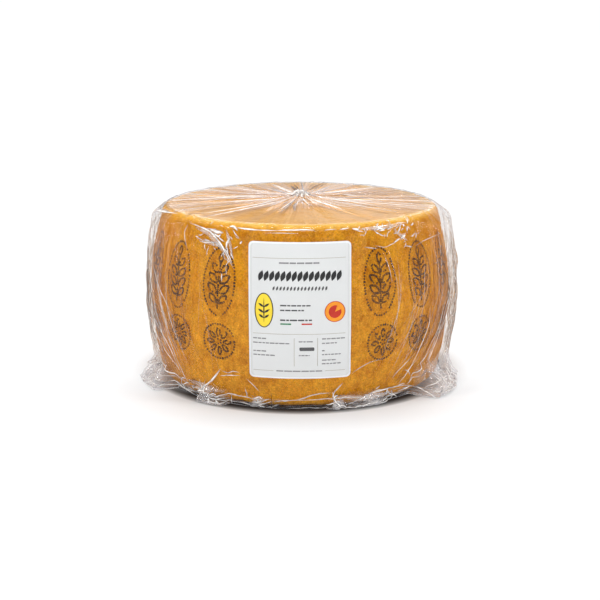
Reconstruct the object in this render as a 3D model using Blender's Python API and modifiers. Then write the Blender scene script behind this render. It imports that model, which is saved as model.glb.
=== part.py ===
"""A wheel of hard, grainy cheese, wrapped in clear film, with a paper label on its front.

Metres, +Z up. The wheel's axis is the Z axis, the label faces -Y, and the film rests on z = 0.
The wheel is turned from its profile. The film is a thin shell turned from a wider profile and then
drawn into pleats, slack sides and pouches. The label is a thin sheet curved round the film.
"""

import math

import bmesh
import bpy
import numpy as np

# The wheel of cheese
BELLY_RADIUS = 0.210
TOP_RADIUS = 0.1895  # of the side's curve carried on to the upper face, without the rounded edge
BASE_RADIUS = 0.1955  # the same at the foot, which is wider because the wheel has slumped a little
WHEEL_HEIGHT = 0.2375
EDGE_ROUND = 0.012
BORDER_WIDTH = 0.014  # the faintly raised border round each flat face
BORDER_RISE = 0.0012
UNEVEN = 0.0007  # how far the side departs from a true turned shape

# The clear film
FILM_WALL = 0.0010
FILM_GAP = 0.0005  # between the wheel and the film's inner face where it is drawn tight
FILM_TIGHT = FILM_WALL + FILM_GAP
LOOSE_RADIUS = 0.2180  # of the film at the sides, where it stands off the wheel
LOOSE_SHIFT = 0.0020  # it hangs this much further out on the right than the mean, and less on the left
SHOULDER_DROP = 0.022  # the loose film slopes this far down from the head before it hangs straight
LOOSE_MIDDLE = 0.125  # the height at which the loose film is widest
LOOSE_SPAN = 0.100
LOOSE_FALL_ABOVE = 0.0085  # how much narrower the loose film is one span above the middle
LOOSE_FALL_BELOW = 0.0075
SIDE_FOLD = 0.0016
SKIRT_RADIUS = 0.2000  # of the film below the wheel's rounded foot, where it hangs straight to the floor
SKIRT_ROUND = 0.003
SKIRT_TOP = 0.0080
SKIRT_FLARE = -0.0010  # how much wider the skirt is at its top than at the floor
KNOT_HOLE = 0.0035  # radius of the hole in the middle of the gathered ends
KNOT_HEIGHT = 0.0080
KNOT_BACK = 0.022  # how far behind the wheel's axis the ends are gathered
KNOT_SPREAD = 0.020
PLEAT_HEIGHT = 0.0022

# The label
LABEL_WIDTH = 0.131
LABEL_BOTTOM = 0.0435
LABEL_TOP = 0.2205
LABEL_CORNER = 0.006
LABEL_THICKNESS = 0.0005
LABEL_GAP = 0.0005

COLUMNS = 80  # round the wheel and the film
FRONT = -math.pi / 2

# Pouches and pinches of film at the foot. A pouch has a tip, where it ends quickly on one side and slowly on
# the other: azimuth of the tip, half width before it and after it in degrees, reach and height in metres
POUCH_BLUNT = 0.45  # how squarely a pouch ends to the left and right
FOOT_FOLDS = [
    (-151.0, 27.0, 4.5, 0.0345, 0.033),
    (-38.0, 4.5, 30.0, 0.0410, 0.044),
    (36.0, 16.0, 16.0, 0.0350, 0.046),
    (146.0, 16.0, 16.0, 0.0350, 0.046),
    (-121.0, 10.0, 3.0, 0.0180, 0.028),
    (-64.0, 11.0, 9.0, 0.0100, 0.026),
    (-77.0, 3.0, 3.0, 0.0080, 0.024),
    (88.0, 11.0, 11.0, 0.0130, 0.032),
]


def smooth_step(value, low, high):
    """0 below low, 1 above high, and an S curve between them."""
    t = np.clip((value - low) / (high - low), 0, 1)
    return t * t * (3 - 2 * t)


def turn(azimuth, centre):
    """The signed angle from a centre to an azimuth, in radians."""
    return (azimuth - centre + math.pi) % (2 * math.pi) - math.pi


def turn_from(azimuth, centre):
    """The unsigned angle between two azimuths, in radians."""
    return np.abs(turn(azimuth, centre))


def wheel_radius(height):
    """The side of the wheel: a parabola from the foot through the belly to the head."""
    half = WHEEL_HEIGHT / 2
    share = (height - half) / half
    end_radius = np.where(share > 0, TOP_RADIUS, BASE_RADIUS)
    return BELLY_RADIUS - (BELLY_RADIUS - end_radius) * share**2


def unevenness(azimuth, height):
    """The gentle waves that draining and turning leave in the side."""
    waves = np.sin(2 * azimuth + 0.4) + 0.6 * np.sin(5 * azimuth + 1.3 + 12 * height)
    return UNEVEN * waves * smooth_step(height, 0, 0.05) * smooth_step(WHEEL_HEIGHT - height, 0, 0.05)


def head_edge():
    """The radius at which the flat head turns into its rounded edge."""
    return float(wheel_radius(WHEEL_HEIGHT - EDGE_ROUND)) - EDGE_ROUND


def foot_edge():
    return float(wheel_radius(EDGE_ROUND)) - EDGE_ROUND


def edge_arc(flat_radius, face_height, direction, steps, rounding):
    """Points inside a quarter circle from a flat face into the side. The direction is 1 up and -1 down."""
    angles = [math.pi / 2 * (i + 1) / (steps + 1) for i in range(steps)]
    centre_height = face_height - direction * rounding
    return [
        (flat_radius + rounding * math.sin(a), centre_height + direction * rounding * math.cos(a))
        for a in angles
    ]


def side_line(heights, clearance):
    """Points down the side, that far clear of the wheel, on a wheel that stands on the film."""
    return [(float(wheel_radius(height)) + clearance, height + clearance) for height in heights]


def wheel_outline():
    """The wheel's half outline as (radius, height), from the middle of the head to that of the foot."""
    inner_head = head_edge() - BORDER_WIDTH
    low_head = WHEEL_HEIGHT - BORDER_RISE
    points = [(0, low_head), (0.10, low_head), (inner_head, low_head), (head_edge(), WHEEL_HEIGHT)]
    points += edge_arc(head_edge(), WHEEL_HEIGHT, 1, 3, EDGE_ROUND)
    points += side_line(np.linspace(WHEEL_HEIGHT - EDGE_ROUND, EDGE_ROUND, 9).tolist(), 0)
    points += edge_arc(foot_edge(), 0, -1, 3, EDGE_ROUND)[::-1]
    points += [(foot_edge(), 0), (0, 0)]
    return points


def film_outline():
    """The film's half outline where it is tight, from the hole in its knot to the middle of its underside.

    It follows the wheel down its side, then hangs straight past the wheel's rounded foot as a skirt.
    """
    head_radii = [KNOT_HOLE, 0.007, 0.012, 0.019, 0.030, 0.048, 0.072, 0.100, 0.130, 0.156, head_edge()]
    side_heights = [0.206, 0.182, 0.158, 0.134, 0.110, 0.088, 0.068, 0.052, 0.038, 0.026]
    top = WHEEL_HEIGHT + 2 * FILM_TIGHT
    skirt_edge = SKIRT_RADIUS - SKIRT_ROUND
    points = [(radius, top) for radius in head_radii]
    points += edge_arc(head_edge(), top, 1, 3, EDGE_ROUND + FILM_TIGHT)
    points += side_line([WHEEL_HEIGHT - EDGE_ROUND, *side_heights, EDGE_ROUND], FILM_TIGHT)
    points += [(SKIRT_RADIUS + SKIRT_FLARE, SKIRT_TOP), (SKIRT_RADIUS, SKIRT_ROUND)]
    points += edge_arc(skirt_edge, 0, -1, 2, SKIRT_ROUND)[::-1]
    points += [(skirt_edge, 0), (0, 0)]
    return points


def turned(name, outline):
    """A mesh turned round the Z axis from a half outline, by a Screw modifier that is then applied."""
    profile = bpy.data.meshes.new(name)
    vertices = [(radius, 0, height) for radius, height in outline]
    edges = [(i, i + 1) for i in range(len(outline) - 1)]
    profile.from_pydata(vertices, edges, [])
    shape = bpy.data.objects.new(name + "_profile", profile)
    bpy.context.scene.collection.objects.link(shape)
    screw = shape.modifiers.new("turn", "SCREW")
    screw.axis = "Z"
    screw.steps = screw.render_steps = COLUMNS
    screw.use_merge_vertices = True
    screw.merge_threshold = 0.0001
    screw.use_smooth_shade = True
    graph = bpy.context.evaluated_depsgraph_get()
    mesh = bpy.data.meshes.new_from_object(shape.evaluated_get(graph))
    bpy.data.objects.remove(shape)
    mesh.name = name
    return mesh


def points_of(mesh):
    """The mesh's vertices as an array, with one row for each."""
    flat = np.empty(len(mesh.vertices) * 3)
    mesh.vertices.foreach_get("co", flat)
    return flat.reshape(-1, 3)


def set_points(mesh, points):
    mesh.vertices.foreach_set("co", points.ravel())
    mesh.update()


def material(name, colour, roughness, alpha=1.0):
    made = bpy.data.materials.new(name)
    made.use_nodes = True
    shader = made.node_tree.nodes["Principled BSDF"]
    shader.inputs["Base Color"].default_value = (*colour, 1)
    shader.inputs["Roughness"].default_value = roughness
    shader.inputs["Metallic"].default_value = 0
    shader.inputs["Alpha"].default_value = alpha
    return made


def add_piece(name, mesh, finish, collection):
    piece = bpy.data.objects.new(name, mesh)
    mesh.materials.clear()
    mesh.materials.append(finish)
    collection.objects.link(piece)
    return piece


def make_wheel(collection):
    """The cheese: a turned drum with a convex side, rounded edges and a gently uneven rind."""
    mesh = turned("cheese_wheel", wheel_outline())
    points = points_of(mesh)
    azimuth = np.arctan2(points[:, 1], points[:, 0])
    radius = np.hypot(points[:, 0], points[:, 1])
    on_side = smooth_step(radius, 0.17, 0.19)
    swollen = radius + on_side * unevenness(azimuth, points[:, 2])
    points[:, 0] = swollen * np.cos(azimuth)
    points[:, 1] = swollen * np.sin(azimuth)
    points[:, 2] += FILM_TIGHT
    set_points(mesh, points)
    rind = material("rind", (0.62, 0.33, 0.06), 0.5)
    return add_piece("cheese_wheel", mesh, rind, collection)


def slackness(azimuth):
    """How loose the film is at an azimuth: 0 where it is drawn tight over the front, 1 at the sides."""
    from_front = turn_from(azimuth, FRONT)
    from_back = turn_from(azimuth, -FRONT)
    return smooth_step(from_front, math.radians(32), math.radians(78)) * (
        1 - 0.45 * (1 - smooth_step(from_back, math.radians(20), math.radians(75)))
    )


def loose_film_radius(azimuth, height):
    """The film where it hangs clear of the wheel: widest at the belly and nearly straight."""
    away = (height - LOOSE_MIDDLE) / LOOSE_SPAN
    fall = np.where(away > 0, LOOSE_FALL_ABOVE, LOOSE_FALL_BELOW)
    return LOOSE_RADIUS + LOOSE_SHIFT * np.cos(azimuth) - fall * away**2


def side_folds(azimuth, height):
    """Upright folds that run a little aslant round the side, only ever outward."""
    broad = 0.5 + 0.5 * np.sin(16 * azimuth + 9 * height + 0.8)
    narrow = 0.5 + 0.5 * np.sin(27 * azimuth - 14 * height + 2.1)
    return SIDE_FOLD * (0.6 * broad + 0.4 * narrow)


def foot_pouches(azimuth, height):
    """How far the gathered slack at the foot stands out: blunt bumps in azimuth that close with height."""
    reach = np.zeros_like(azimuth)
    for centre, before, after, depth, top in FOOT_FOLDS:
        away = turn(azimuth, math.radians(centre))
        away = np.abs(away) / np.radians(np.where(away < 0, before, after))
        across = np.clip(1 - away**2, 0, 1) ** POUCH_BLUNT
        rise = 1 - np.clip(height / top, 0, 1) ** 2
        ripple = 1 + 0.08 * np.sin(5 * away + 60 * height + centre)
        reach = np.maximum(reach, depth * across * rise * ripple)
    return reach


def knot_rise(radius):
    """The height of the gathered ends above the head: a small cone that flares into the flat film."""
    return KNOT_HEIGHT * np.exp(-((radius / KNOT_SPREAD) ** 1.2))


def pleats(azimuth, radius):
    """Rays of folded film that run from the knot to the rim, tallest near the knot."""
    many = np.abs(np.sin(10 * azimuth + 0.9)) + 0.6 * np.abs(np.sin(6.5 * azimuth + 0.3))
    fade = smooth_step(radius, 0.004, 0.02) * (1 - 0.75 * smooth_step(radius, 0.03, 0.15))
    return PLEAT_HEIGHT * 0.6 * many * fade * (1 - smooth_step(radius, 0.155, 0.178))


def make_film(collection):
    """The film: turned tight round the wheel, then let out at the sides, pouched and pleated."""
    mesh = turned("film_wrap", film_outline())
    points = points_of(mesh)
    azimuth = np.arctan2(points[:, 1], points[:, 0])
    radius = np.hypot(points[:, 0], points[:, 1])
    height = points[:, 2].copy()
    on_head = height > WHEEL_HEIGHT + FILM_TIGHT
    on_side = smooth_step(radius, 0.165, 0.1905)
    uneven = unevenness(azimuth, height - FILM_TIGHT) * on_side
    drop = WHEEL_HEIGHT + 2 * FILM_TIGHT - height
    loose = slackness(azimuth) * on_side * smooth_step(height, 0, 0.010) * smooth_step(drop, 0, SHOULDER_DROP)
    stand_off = np.maximum(loose_film_radius(azimuth, height) - radius, 0) + side_folds(azimuth, height)
    pouch = foot_pouches(azimuth, height) * smooth_step(radius, 0.10, foot_edge()) * ~on_head
    widened = radius + uneven + np.maximum(loose * stand_off, pouch)
    inward = 1 - np.clip(radius / 0.17, 0, 1)
    points[:, 0] = widened * np.cos(azimuth)
    points[:, 1] = widened * np.sin(azimuth) + KNOT_BACK * inward * on_head
    points[:, 2] = height + on_head * (knot_rise(radius) + pleats(azimuth, radius))
    set_points(mesh, points)
    clear = material("clear_film", (0.9, 0.9, 0.9), 0.1, alpha=0.25)
    piece = add_piece("film_wrap", mesh, clear, collection)
    wall = piece.modifiers.new("wall", "SOLIDIFY")
    wall.thickness = FILM_WALL
    wall.offset = -1
    return piece


def label_half_width(height):
    """Half the label's width at a height, narrower in its rounded corners."""
    to_end = np.minimum(height - LABEL_BOTTOM, LABEL_TOP - height)
    into_corner = np.clip(LABEL_CORNER - to_end, 0, LABEL_CORNER)
    return LABEL_WIDTH / 2 - LABEL_CORNER + np.sqrt(LABEL_CORNER**2 - into_corner**2)


def make_label(collection):
    """The paper label: a grid whose rows crowd in the rounded corners, curved round the film."""
    corner_rows = LABEL_CORNER * (1 - np.cos(np.linspace(0, math.pi / 2, 5)))
    middle_rows = np.linspace(LABEL_BOTTOM + LABEL_CORNER, LABEL_TOP - LABEL_CORNER, 9)[1:-1]
    heights = np.concatenate([LABEL_BOTTOM + corner_rows, middle_rows, LABEL_TOP - corner_rows[::-1]])
    columns = 12
    sheet = bmesh.new()
    bmesh.ops.create_grid(sheet, x_segments=columns, y_segments=len(heights) - 1, size=0.5)
    mesh = bpy.data.meshes.new("label")
    sheet.to_mesh(mesh)
    sheet.free()
    points = points_of(mesh)
    row = np.rint((points[:, 1] + 0.5) * (len(heights) - 1)).astype(int)
    height = heights[row]
    across = points[:, 0] * 2 * label_half_width(height)
    azimuth = FRONT + across / wheel_radius(height - FILM_TIGHT)
    radius = wheel_radius(height - FILM_TIGHT) + unevenness(azimuth, height - FILM_TIGHT)
    radius = radius + FILM_TIGHT + LABEL_GAP
    curved = np.stack([radius * np.cos(azimuth), radius * np.sin(azimuth), height], axis=1)
    set_points(mesh, curved)
    paper = material("label_paper", (0.92, 0.92, 0.91), 0.45)
    piece = add_piece("label", mesh, paper, collection)
    sheet_wall = piece.modifiers.new("sheet", "SOLIDIFY")
    sheet_wall.thickness = LABEL_THICKNESS
    sheet_wall.offset = 1
    return piece


def main():
    for old in list(bpy.data.objects):
        bpy.data.objects.remove(old)
    collection = bpy.data.collections.new("wrapped_cheese_wheel")
    bpy.context.scene.collection.children.link(collection)
    make_wheel(collection)
    make_film(collection)
    make_label(collection)


main()
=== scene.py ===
# %% [markdown]
# # A whole cheese in clear film
#
# The real object is a drum of hard, grainy cheese. It is wrapped in clear film that is gathered in a knot
# on the head and tucked under the foot, and a paper label sits on the front of the film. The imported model
# already holds the right sizes, as three plain solids: the cheese, the film and the label. This script
# keeps those sizes and dresses each solid: a finer surface takes its place, with the rind, the creases and
# the print.

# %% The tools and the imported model
import math

import bpy
import numpy as np
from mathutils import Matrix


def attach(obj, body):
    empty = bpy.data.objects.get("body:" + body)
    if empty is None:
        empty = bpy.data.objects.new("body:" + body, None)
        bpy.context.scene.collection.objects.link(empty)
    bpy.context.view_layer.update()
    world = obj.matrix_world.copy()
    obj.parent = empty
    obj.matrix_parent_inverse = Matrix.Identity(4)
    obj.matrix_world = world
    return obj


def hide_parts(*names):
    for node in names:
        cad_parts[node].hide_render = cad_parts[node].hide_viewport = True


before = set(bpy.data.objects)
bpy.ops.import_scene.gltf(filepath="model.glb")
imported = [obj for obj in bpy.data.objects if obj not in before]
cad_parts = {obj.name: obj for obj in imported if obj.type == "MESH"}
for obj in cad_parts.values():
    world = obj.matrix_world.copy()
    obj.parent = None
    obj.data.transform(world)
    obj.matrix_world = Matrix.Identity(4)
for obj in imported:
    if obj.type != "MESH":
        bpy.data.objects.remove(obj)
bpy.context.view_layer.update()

print("packed solids:", sorted(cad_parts))

# %% [markdown]
# ## The driving sizes
#
# Every surface below is a formula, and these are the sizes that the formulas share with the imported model.
# The wheel's axis is the Z axis, the label faces -Y, and the film rests on z = 0. With the same numbers and
# the same formulas, a new surface lies where its solid does and nothing has to be fitted by hand.

# %% Sizes in metres
BELLY_RADIUS = 0.210
TOP_RADIUS = 0.1895  # the side's curve carried on to the head
BASE_RADIUS = 0.1955  # the foot is wider, because the wheel has slumped a little
WHEEL_HEIGHT = 0.2375
EDGE_ROUND = 0.012
BORDER_WIDTH = 0.014  # the faintly raised border round the head
BORDER_RISE = 0.0012
UNEVEN = 0.0007
FILM_TIGHT = 0.0015  # how far the film's face is from the cheese where it is drawn tight
LOOSE_RADIUS = 0.2170  # of the film at the sides, where it stands off the cheese
LOOSE_SHIFT = 0.0020
SHOULDER_DROP = 0.022
LOOSE_MIDDLE = 0.125
LOOSE_SPAN = 0.100
LOOSE_FALL_ABOVE = 0.0085
LOOSE_FALL_BELOW = 0.0075
SIDE_FOLD = 0.0016
SKIRT_RADIUS = 0.2000  # the film spreads past the cheese's rounded foot, down to the floor
SKIRT_ROUND = 0.003
SKIRT_TOP = 0.0080  # where the skirt bends, half way down
SKIRT_FLARE = -0.0010  # added to its radius there
KNOT_HOLE = 0.0035
KNOT_HEIGHT = 0.0080
KNOT_BACK = 0.022  # the film is gathered this far behind the axis
KNOT_SPREAD = 0.020
PLEAT_HEIGHT = 0.0022
LABEL_WIDTH = 0.131
LABEL_BOTTOM = 0.0435
LABEL_TOP = 0.2205
LABEL_CORNER = 0.006
LABEL_THICKNESS = 0.0005
LABEL_GAP = 0.0005
FRONT = -math.pi / 2  # the azimuth of the label
POUCH_BLUNT = 0.45  # how squarely a pouch ends to the left and right
# Pouches at the foot: azimuth of the tip, half width before it and after it in degrees, reach and height in
# metres. The first two reach 2 to 4 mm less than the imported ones, because the crumpling adds to them.
FOOT_FOLDS = [
    (-151.0, 27.0, 4.5, 0.0310, 0.030),
    (-38.0, 4.5, 30.0, 0.0390, 0.044),
    (36.0, 16.0, 16.0, 0.0330, 0.046),
    (146.0, 16.0, 16.0, 0.0330, 0.046),
    (-121.0, 10.0, 3.0, 0.0170, 0.028),
    (-64.0, 11.0, 9.0, 0.0090, 0.026),
    (-77.0, 3.0, 3.0, 0.0070, 0.024),
    (88.0, 11.0, 11.0, 0.0110, 0.032),
]
print("wheel", round(2 * BELLY_RADIUS * 1000), "mm across and", round(WHEEL_HEIGHT * 1000, 1), "mm high")

# %% [markdown]
# ## The camera
#
# The photograph looks slightly down at the front of the wheel, from far enough away that the drum hardly
# narrows to its foot. A long lens at a good distance gives that view. Its tilt was found from how flat the
# ellipse of the head looks: about 14 degrees below level.

# %% The camera
CAMERA_PLACE = (0, -1.7367, 0.5265)
CAMERA_TILT = math.radians(76.10)  # from looking straight down
CAMERA_LENS = 74.8  # mm, on a sensor 36 mm wide

camera_data = bpy.data.cameras.new("studio_camera")
camera_data.lens = CAMERA_LENS
camera = bpy.data.objects.new("studio_camera", camera_data)
camera.location = CAMERA_PLACE
camera.rotation_euler = (CAMERA_TILT, 0, 0)
bpy.context.scene.collection.objects.link(camera)
bpy.context.scene.camera = camera
print("camera", math.hypot(*CAMERA_PLACE), "m from the foot")

# %% [markdown]
# ## Node helpers
#
# A material is a small graph of nodes. Writing each node by hand takes five lines, so these helpers make a
# node with its settings and its inputs in one call. An input is either a plain value or another node's
# output.


# %% Short ways to add nodes
def add_node(tree, kind, inputs=None, **settings):
    """A new node, with its settings by name and each input given as a value or as a socket to link."""
    made = tree.nodes.new(kind)
    for name, value in settings.items():
        setattr(made, name, value)
    for socket, value in (inputs or {}).items():
        if isinstance(value, bpy.types.NodeSocket):
            tree.links.new(value, made.inputs[socket])
        else:
            made.inputs[socket].default_value = value
    return made


def maths(tree, operation, *values, clamp=False):
    """One Math node's output."""
    inputs = dict(enumerate(values))
    return add_node(tree, "ShaderNodeMath", inputs, operation=operation, use_clamp=clamp).outputs[0]


def mixed(tree, share, low, high, way="MIX"):
    """The colour low where the share is 0 and high where it is 1."""
    inputs = {0: share, 6: low, 7: high}
    return add_node(tree, "ShaderNodeMix", inputs, data_type="RGBA", blend_type=way).outputs[2]


def between(tree, value, low, high, to_low=0.0, to_high=1.0):
    """A value carried from the range low to high into another range, and held inside it."""
    inputs = {"Value": value, "From Min": low, "From Max": high, "To Min": to_low, "To Max": to_high}
    return add_node(tree, "ShaderNodeMapRange", inputs).outputs[0]


def coated(made, tree, output, inputs):
    """Finish a material with one Principled shader."""
    shader = add_node(tree, "ShaderNodeBsdfPrincipled", inputs)
    tree.links.new(shader.outputs[0], output.inputs[0])
    return made


def blended(tree, share, first, second):
    """The first shader where the share is 0 and the second where it is 1."""
    inputs = {0: share, 1: first.outputs[0], 2: second.outputs[0]}
    return add_node(tree, "ShaderNodeMixShader", inputs)


def object_place(tree):
    """The place on the object, in metres."""
    return add_node(tree, "ShaderNodeTexCoord").outputs["Object"]


def coordinate(tree, place, axis):
    """One coordinate of a place."""
    return add_node(tree, "ShaderNodeSeparateXYZ", {0: place}).outputs[axis]


def distance(tree, place):
    """How far a place is from the origin."""
    return add_node(tree, "ShaderNodeVectorMath", {0: place}, operation="LENGTH").outputs["Value"]


def stretched(tree, place, scale):
    """A place scaled along the three axes, so that a pattern on it is drawn out."""
    return add_node(tree, "ShaderNodeMapping", {"Vector": place, "Scale": scale}).outputs[0]


def stored(tree, name):
    """A number that the mesh stores for each vertex under this name."""
    return add_node(tree, "ShaderNodeAttribute", None, attribute_name=name).outputs["Fac"]


def new_material(name):
    """An empty material, its tree and its output node."""
    made = bpy.data.materials.new(name)
    made.use_nodes = True
    made.node_tree.nodes.clear()
    output = add_node(made.node_tree, "ShaderNodeOutputMaterial")
    return made, made.node_tree, output


# %% [markdown]
# ## The studio
#
# The picture is high-key: a white floor that runs out to white, soft light from all round, and a few small
# bright lamps whose reflections draw the thin white lines on the film. Clear film is only visible through
# what it reflects, so the world has three faces: plain white for the camera, a soft grey room for the light
# that falls on the rind, and for reflections a dim room with blurred bright windows and a ring of lamps
# high up.

# %% The view transform and the world
bpy.context.scene.view_settings.view_transform = "Standard"
ROOM_DARK = 0.20
ROOM_BAND = 0.75  # the bright band just above the horizon
ROOM_TOP = 0.20
MIRRORED_DARK = 0.10
MIRRORED_BRIGHT = 1.00
RING_LEVEL = 0.67  # a ring of lamps high up round the room, as the sine of its angle above level
RING_BRIGHT = 3.0
WHITE = (1, 1, 1, 1)

world = bpy.data.worlds.new("studio")
world.use_nodes = True
sky = world.node_tree
sky.nodes.clear()
facing = add_node(sky, "ShaderNodeTexCoord").outputs["Generated"]
level = coordinate(sky, facing, "Z")
band = between(sky, level, 0.30, 0.62, ROOM_BAND, ROOM_DARK)
room = maths(sky, "MAXIMUM", band, between(sky, level, 0.75, 0.95, 0.0, ROOM_TOP))
window_way = stretched(sky, facing, (1, 1, 0.7))
windows = add_node(sky, "ShaderNodeTexNoise", {"Vector": window_way, "Scale": 4.5, "Detail": 1.0}).outputs[0]
windows = between(sky, windows, 0.45, 0.58, MIRRORED_DARK, MIRRORED_BRIGHT)
mirrored = maths(sky, "MULTIPLY", windows, between(sky, level, 0.50, 0.85, 1.0, 0.35))
ring = maths(sky, "ABSOLUTE", maths(sky, "SUBTRACT", level, RING_LEVEL))
ring = between(sky, ring, 0.035, 0.055, RING_BRIGHT, 0.0)
mirrored = maths(sky, "MULTIPLY_ADD", ring, maths(sky, "ADD", windows, 0.4), mirrored)
rays = add_node(sky, "ShaderNodeLightPath")
glossy_ray = rays.outputs["Is Glossy Ray"]
strength = add_node(sky, "ShaderNodeMix", {0: glossy_ray, 2: room, 3: mirrored}).outputs[0]
white = add_node(sky, "ShaderNodeBackground", {"Color": WHITE, "Strength": 1.02})
grey = add_node(sky, "ShaderNodeBackground", {"Color": (0.99, 0.99, 1.0, 1), "Strength": strength})
both = blended(sky, rays.outputs["Is Camera Ray"], grey, white)
add_node(sky, "ShaderNodeOutputWorld", {0: both.outputs[0]})
bpy.context.scene.world = world
print("the room is", ROOM_DARK, "to", ROOM_BAND, "bright")

# %% The lamps
LAMPS = [  # name, place, width, height, watts, and whether it shows in reflections
    ("overhead", (0.0, -0.16, 1.75), 0.90, 0.16, 9.0, True),
    ("overhead_soft", (0.0, 0.60, 1.80), 1.40, 1.00, 22.0, False),
    ("front_soft", (0.0, -2.40, 0.85), 1.80, 0.70, 17.5, False),
    ("left_high", (-1.25, -0.75, 1.15), 0.16, 0.50, 5.5, True),
    ("right_high", (1.30, -0.60, 1.05), 0.14, 0.50, 4.5, True),
    ("behind_high", (0.10, 1.55, 0.95), 1.30, 0.45, 2.5, True),
    ("left_strip", (-1.35, 0.35, 0.55), 0.07, 0.80, 2.2, True),
    ("right_strip", (1.35, 0.40, 0.60), 0.07, 0.80, 2.2, True),
]
AIM = (0, 0, 0.12)  # the middle of the wheel


def add_lamp(name, place, width, height, watts, mirrored):
    """A flat rectangular lamp that faces the wheel."""
    data = bpy.data.lights.new(name, "AREA")
    data.shape = "RECTANGLE"
    data.size = width
    data.size_y = height
    data.energy = watts
    lamp = bpy.data.objects.new(name, data)
    lamp.location = place
    across = math.atan2(AIM[1] - place[1], AIM[0] - place[0])
    level = math.hypot(AIM[0] - place[0], AIM[1] - place[1])
    lamp.rotation_euler = (math.atan2(level, place[2] - AIM[2]), 0, across - math.pi / 2)
    lamp.visible_camera = False
    lamp.visible_glossy = mirrored
    bpy.context.scene.collection.objects.link(lamp)


for lamp in LAMPS:
    add_lamp(*lamp)
print(len(LAMPS), "lamps")

# %% [markdown]
# ## The floor
#
# The photograph's floor is plain white, with only a thin dark line under the front of the foot. So the floor
# is one wide disc of white paper. A painted shadow makes it dark in the narrow gap under the front, and a
# faint painted shade rings the wheel. It glows further out, where it has to run out to white, and just
# behind the wheel it glows as painted light where the wheel's shadow would fall. In reflections it has one
# brightness, a little under white, as in a studio with black card round the table, so that it doesn't bleach
# the rind.

# %% The floor's shape
FLOOR_RADIUS = 14.0
FLOOR_CORNERS = 96
FLOOR_DROP = 0.0004  # under the film's flat underside, so that the two faces never lie in one plane

corner_angles = np.linspace(0, 2 * math.pi, FLOOR_CORNERS, endpoint=False)
floor_x = FLOOR_RADIUS * np.cos(corner_angles)
floor_y = FLOOR_RADIUS * np.sin(corner_angles)
floor_points = np.stack([floor_x, floor_y, np.full(FLOOR_CORNERS, -FLOOR_DROP)], axis=1)
floor_mesh = bpy.data.meshes.new("floor")
floor_mesh.from_pydata(floor_points.tolist(), [], [list(range(FLOOR_CORNERS))])
floor = bpy.data.objects.new("floor", floor_mesh)
bpy.context.scene.collection.objects.link(floor)
print("floor", FLOOR_RADIUS, "m in radius")

# %% The floor's material
FLOOR_PAPER = (0.85, 0.86, 0.87, 1)
FLOOR_PAINTED_SHADOW = (0.050, 0.040, 0.035, 1)  # painted shadow in the gap under the front of the foot
FLOOR_GLOW = 1.04  # how bright the glowing floor is
FLOOR_MIRRORED = 0.88  # how bright the floor is in reflections
GAP = (0.200, 0.220)  # radii between which the painted shadow of the gap fades
GLOW = (0.46, 1.2)  # radii between which the glow takes over


def make_floor_with_painted_shadow_and_light():
    """Paper between a painted shadow and its plain colour by the distance from the axis, the shadow mostly
    at the front, with a faint painted shade in a ring round the wheel; then a glow by distance, painted
    light by depth just behind the wheel, and another glow for reflected rays."""
    made, tree, output = new_material("floor_with_painted_shadow_and_light")
    place = object_place(tree)
    away = distance(tree, place)
    depth = coordinate(tree, place, "Y")
    # Painted shadow in the gap under the front of the foot, and a faint painted shade in a ring round the
    # wheel.
    plain = maths(tree, "POWER", between(tree, away, *GAP), 2.0)
    plain = maths(tree, "MAXIMUM", plain, between(tree, depth, -0.14, -0.04, 0.0, 0.85))
    plain = maths(tree, "MULTIPLY", plain, between(tree, away, 0.24, 0.36, 0.94, 1.0))
    paper = add_node(tree, "ShaderNodeBsdfDiffuse", {"Color": mixed(tree, plain, FLOOR_PAINTED_SHADOW, FLOOR_PAPER)})
    glow = add_node(tree, "ShaderNodeEmission", {"Color": WHITE, "Strength": FLOOR_GLOW})
    dim = add_node(tree, "ShaderNodeEmission", {"Color": WHITE, "Strength": FLOOR_MIRRORED})
    # Painted light: the floor glows just behind the wheel, where the wheel's shadow would fall.
    behind = between(tree, depth, -0.16, -0.04, 0.0, 0.90)
    behind = maths(tree, "MULTIPLY", behind, between(tree, away, 0.210, 0.245))
    share = maths(tree, "MAXIMUM", between(tree, away, *GLOW), behind)
    mirrored_ray = add_node(tree, "ShaderNodeLightPath").outputs["Is Glossy Ray"]
    cover = blended(tree, mirrored_ray, blended(tree, share, paper, glow), dim)
    tree.links.new(cover.outputs[0], output.inputs[0])
    return made


floor_with_painted_shadow_and_light = make_floor_with_painted_shadow_and_light()
floor_mesh.materials.append(floor_with_painted_shadow_and_light)
print("floor material has", len(floor_with_painted_shadow_and_light.node_tree.nodes), "nodes")

# %% [markdown]
# ## The shape formulas
#
# A wheel like this is turned: its side is a parabola from the foot through the belly to the head, with
# rounded edges. Both the cheese and the film follow it, so one outline is worked out as arrays of radius
# and height against the arc length from the middle of the head. A surface is then a function of two
# numbers, the azimuth and the arc length, and a whole grid of points comes out of one call.


# %% Curves that everything uses
def smooth_step(value, low, high):
    """0 below low, 1 above high, and t*t*(3 - 2*t) between them, with t the share of the way."""
    t = np.clip((value - low) / (high - low), 0, 1)
    return t * t * (3 - 2 * t)


def turn(azimuth, centre):
    """The signed angle from centre to azimuth, brought between -pi and pi."""
    return (azimuth - centre + math.pi) % (2 * math.pi) - math.pi


def around(radius, azimuth, height, back=0.0):
    """Points at a radius and an azimuth round the axis, or round a line that is so far behind it."""
    return np.stack([radius * np.cos(azimuth), radius * np.sin(azimuth) + back, height], axis=-1)


def tent(across):
    """The section of a sharp fold: 1 in the middle, straight down to 0 at 1 and at -1."""
    return np.clip(1 - np.abs(across), 0, 1)


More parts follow.
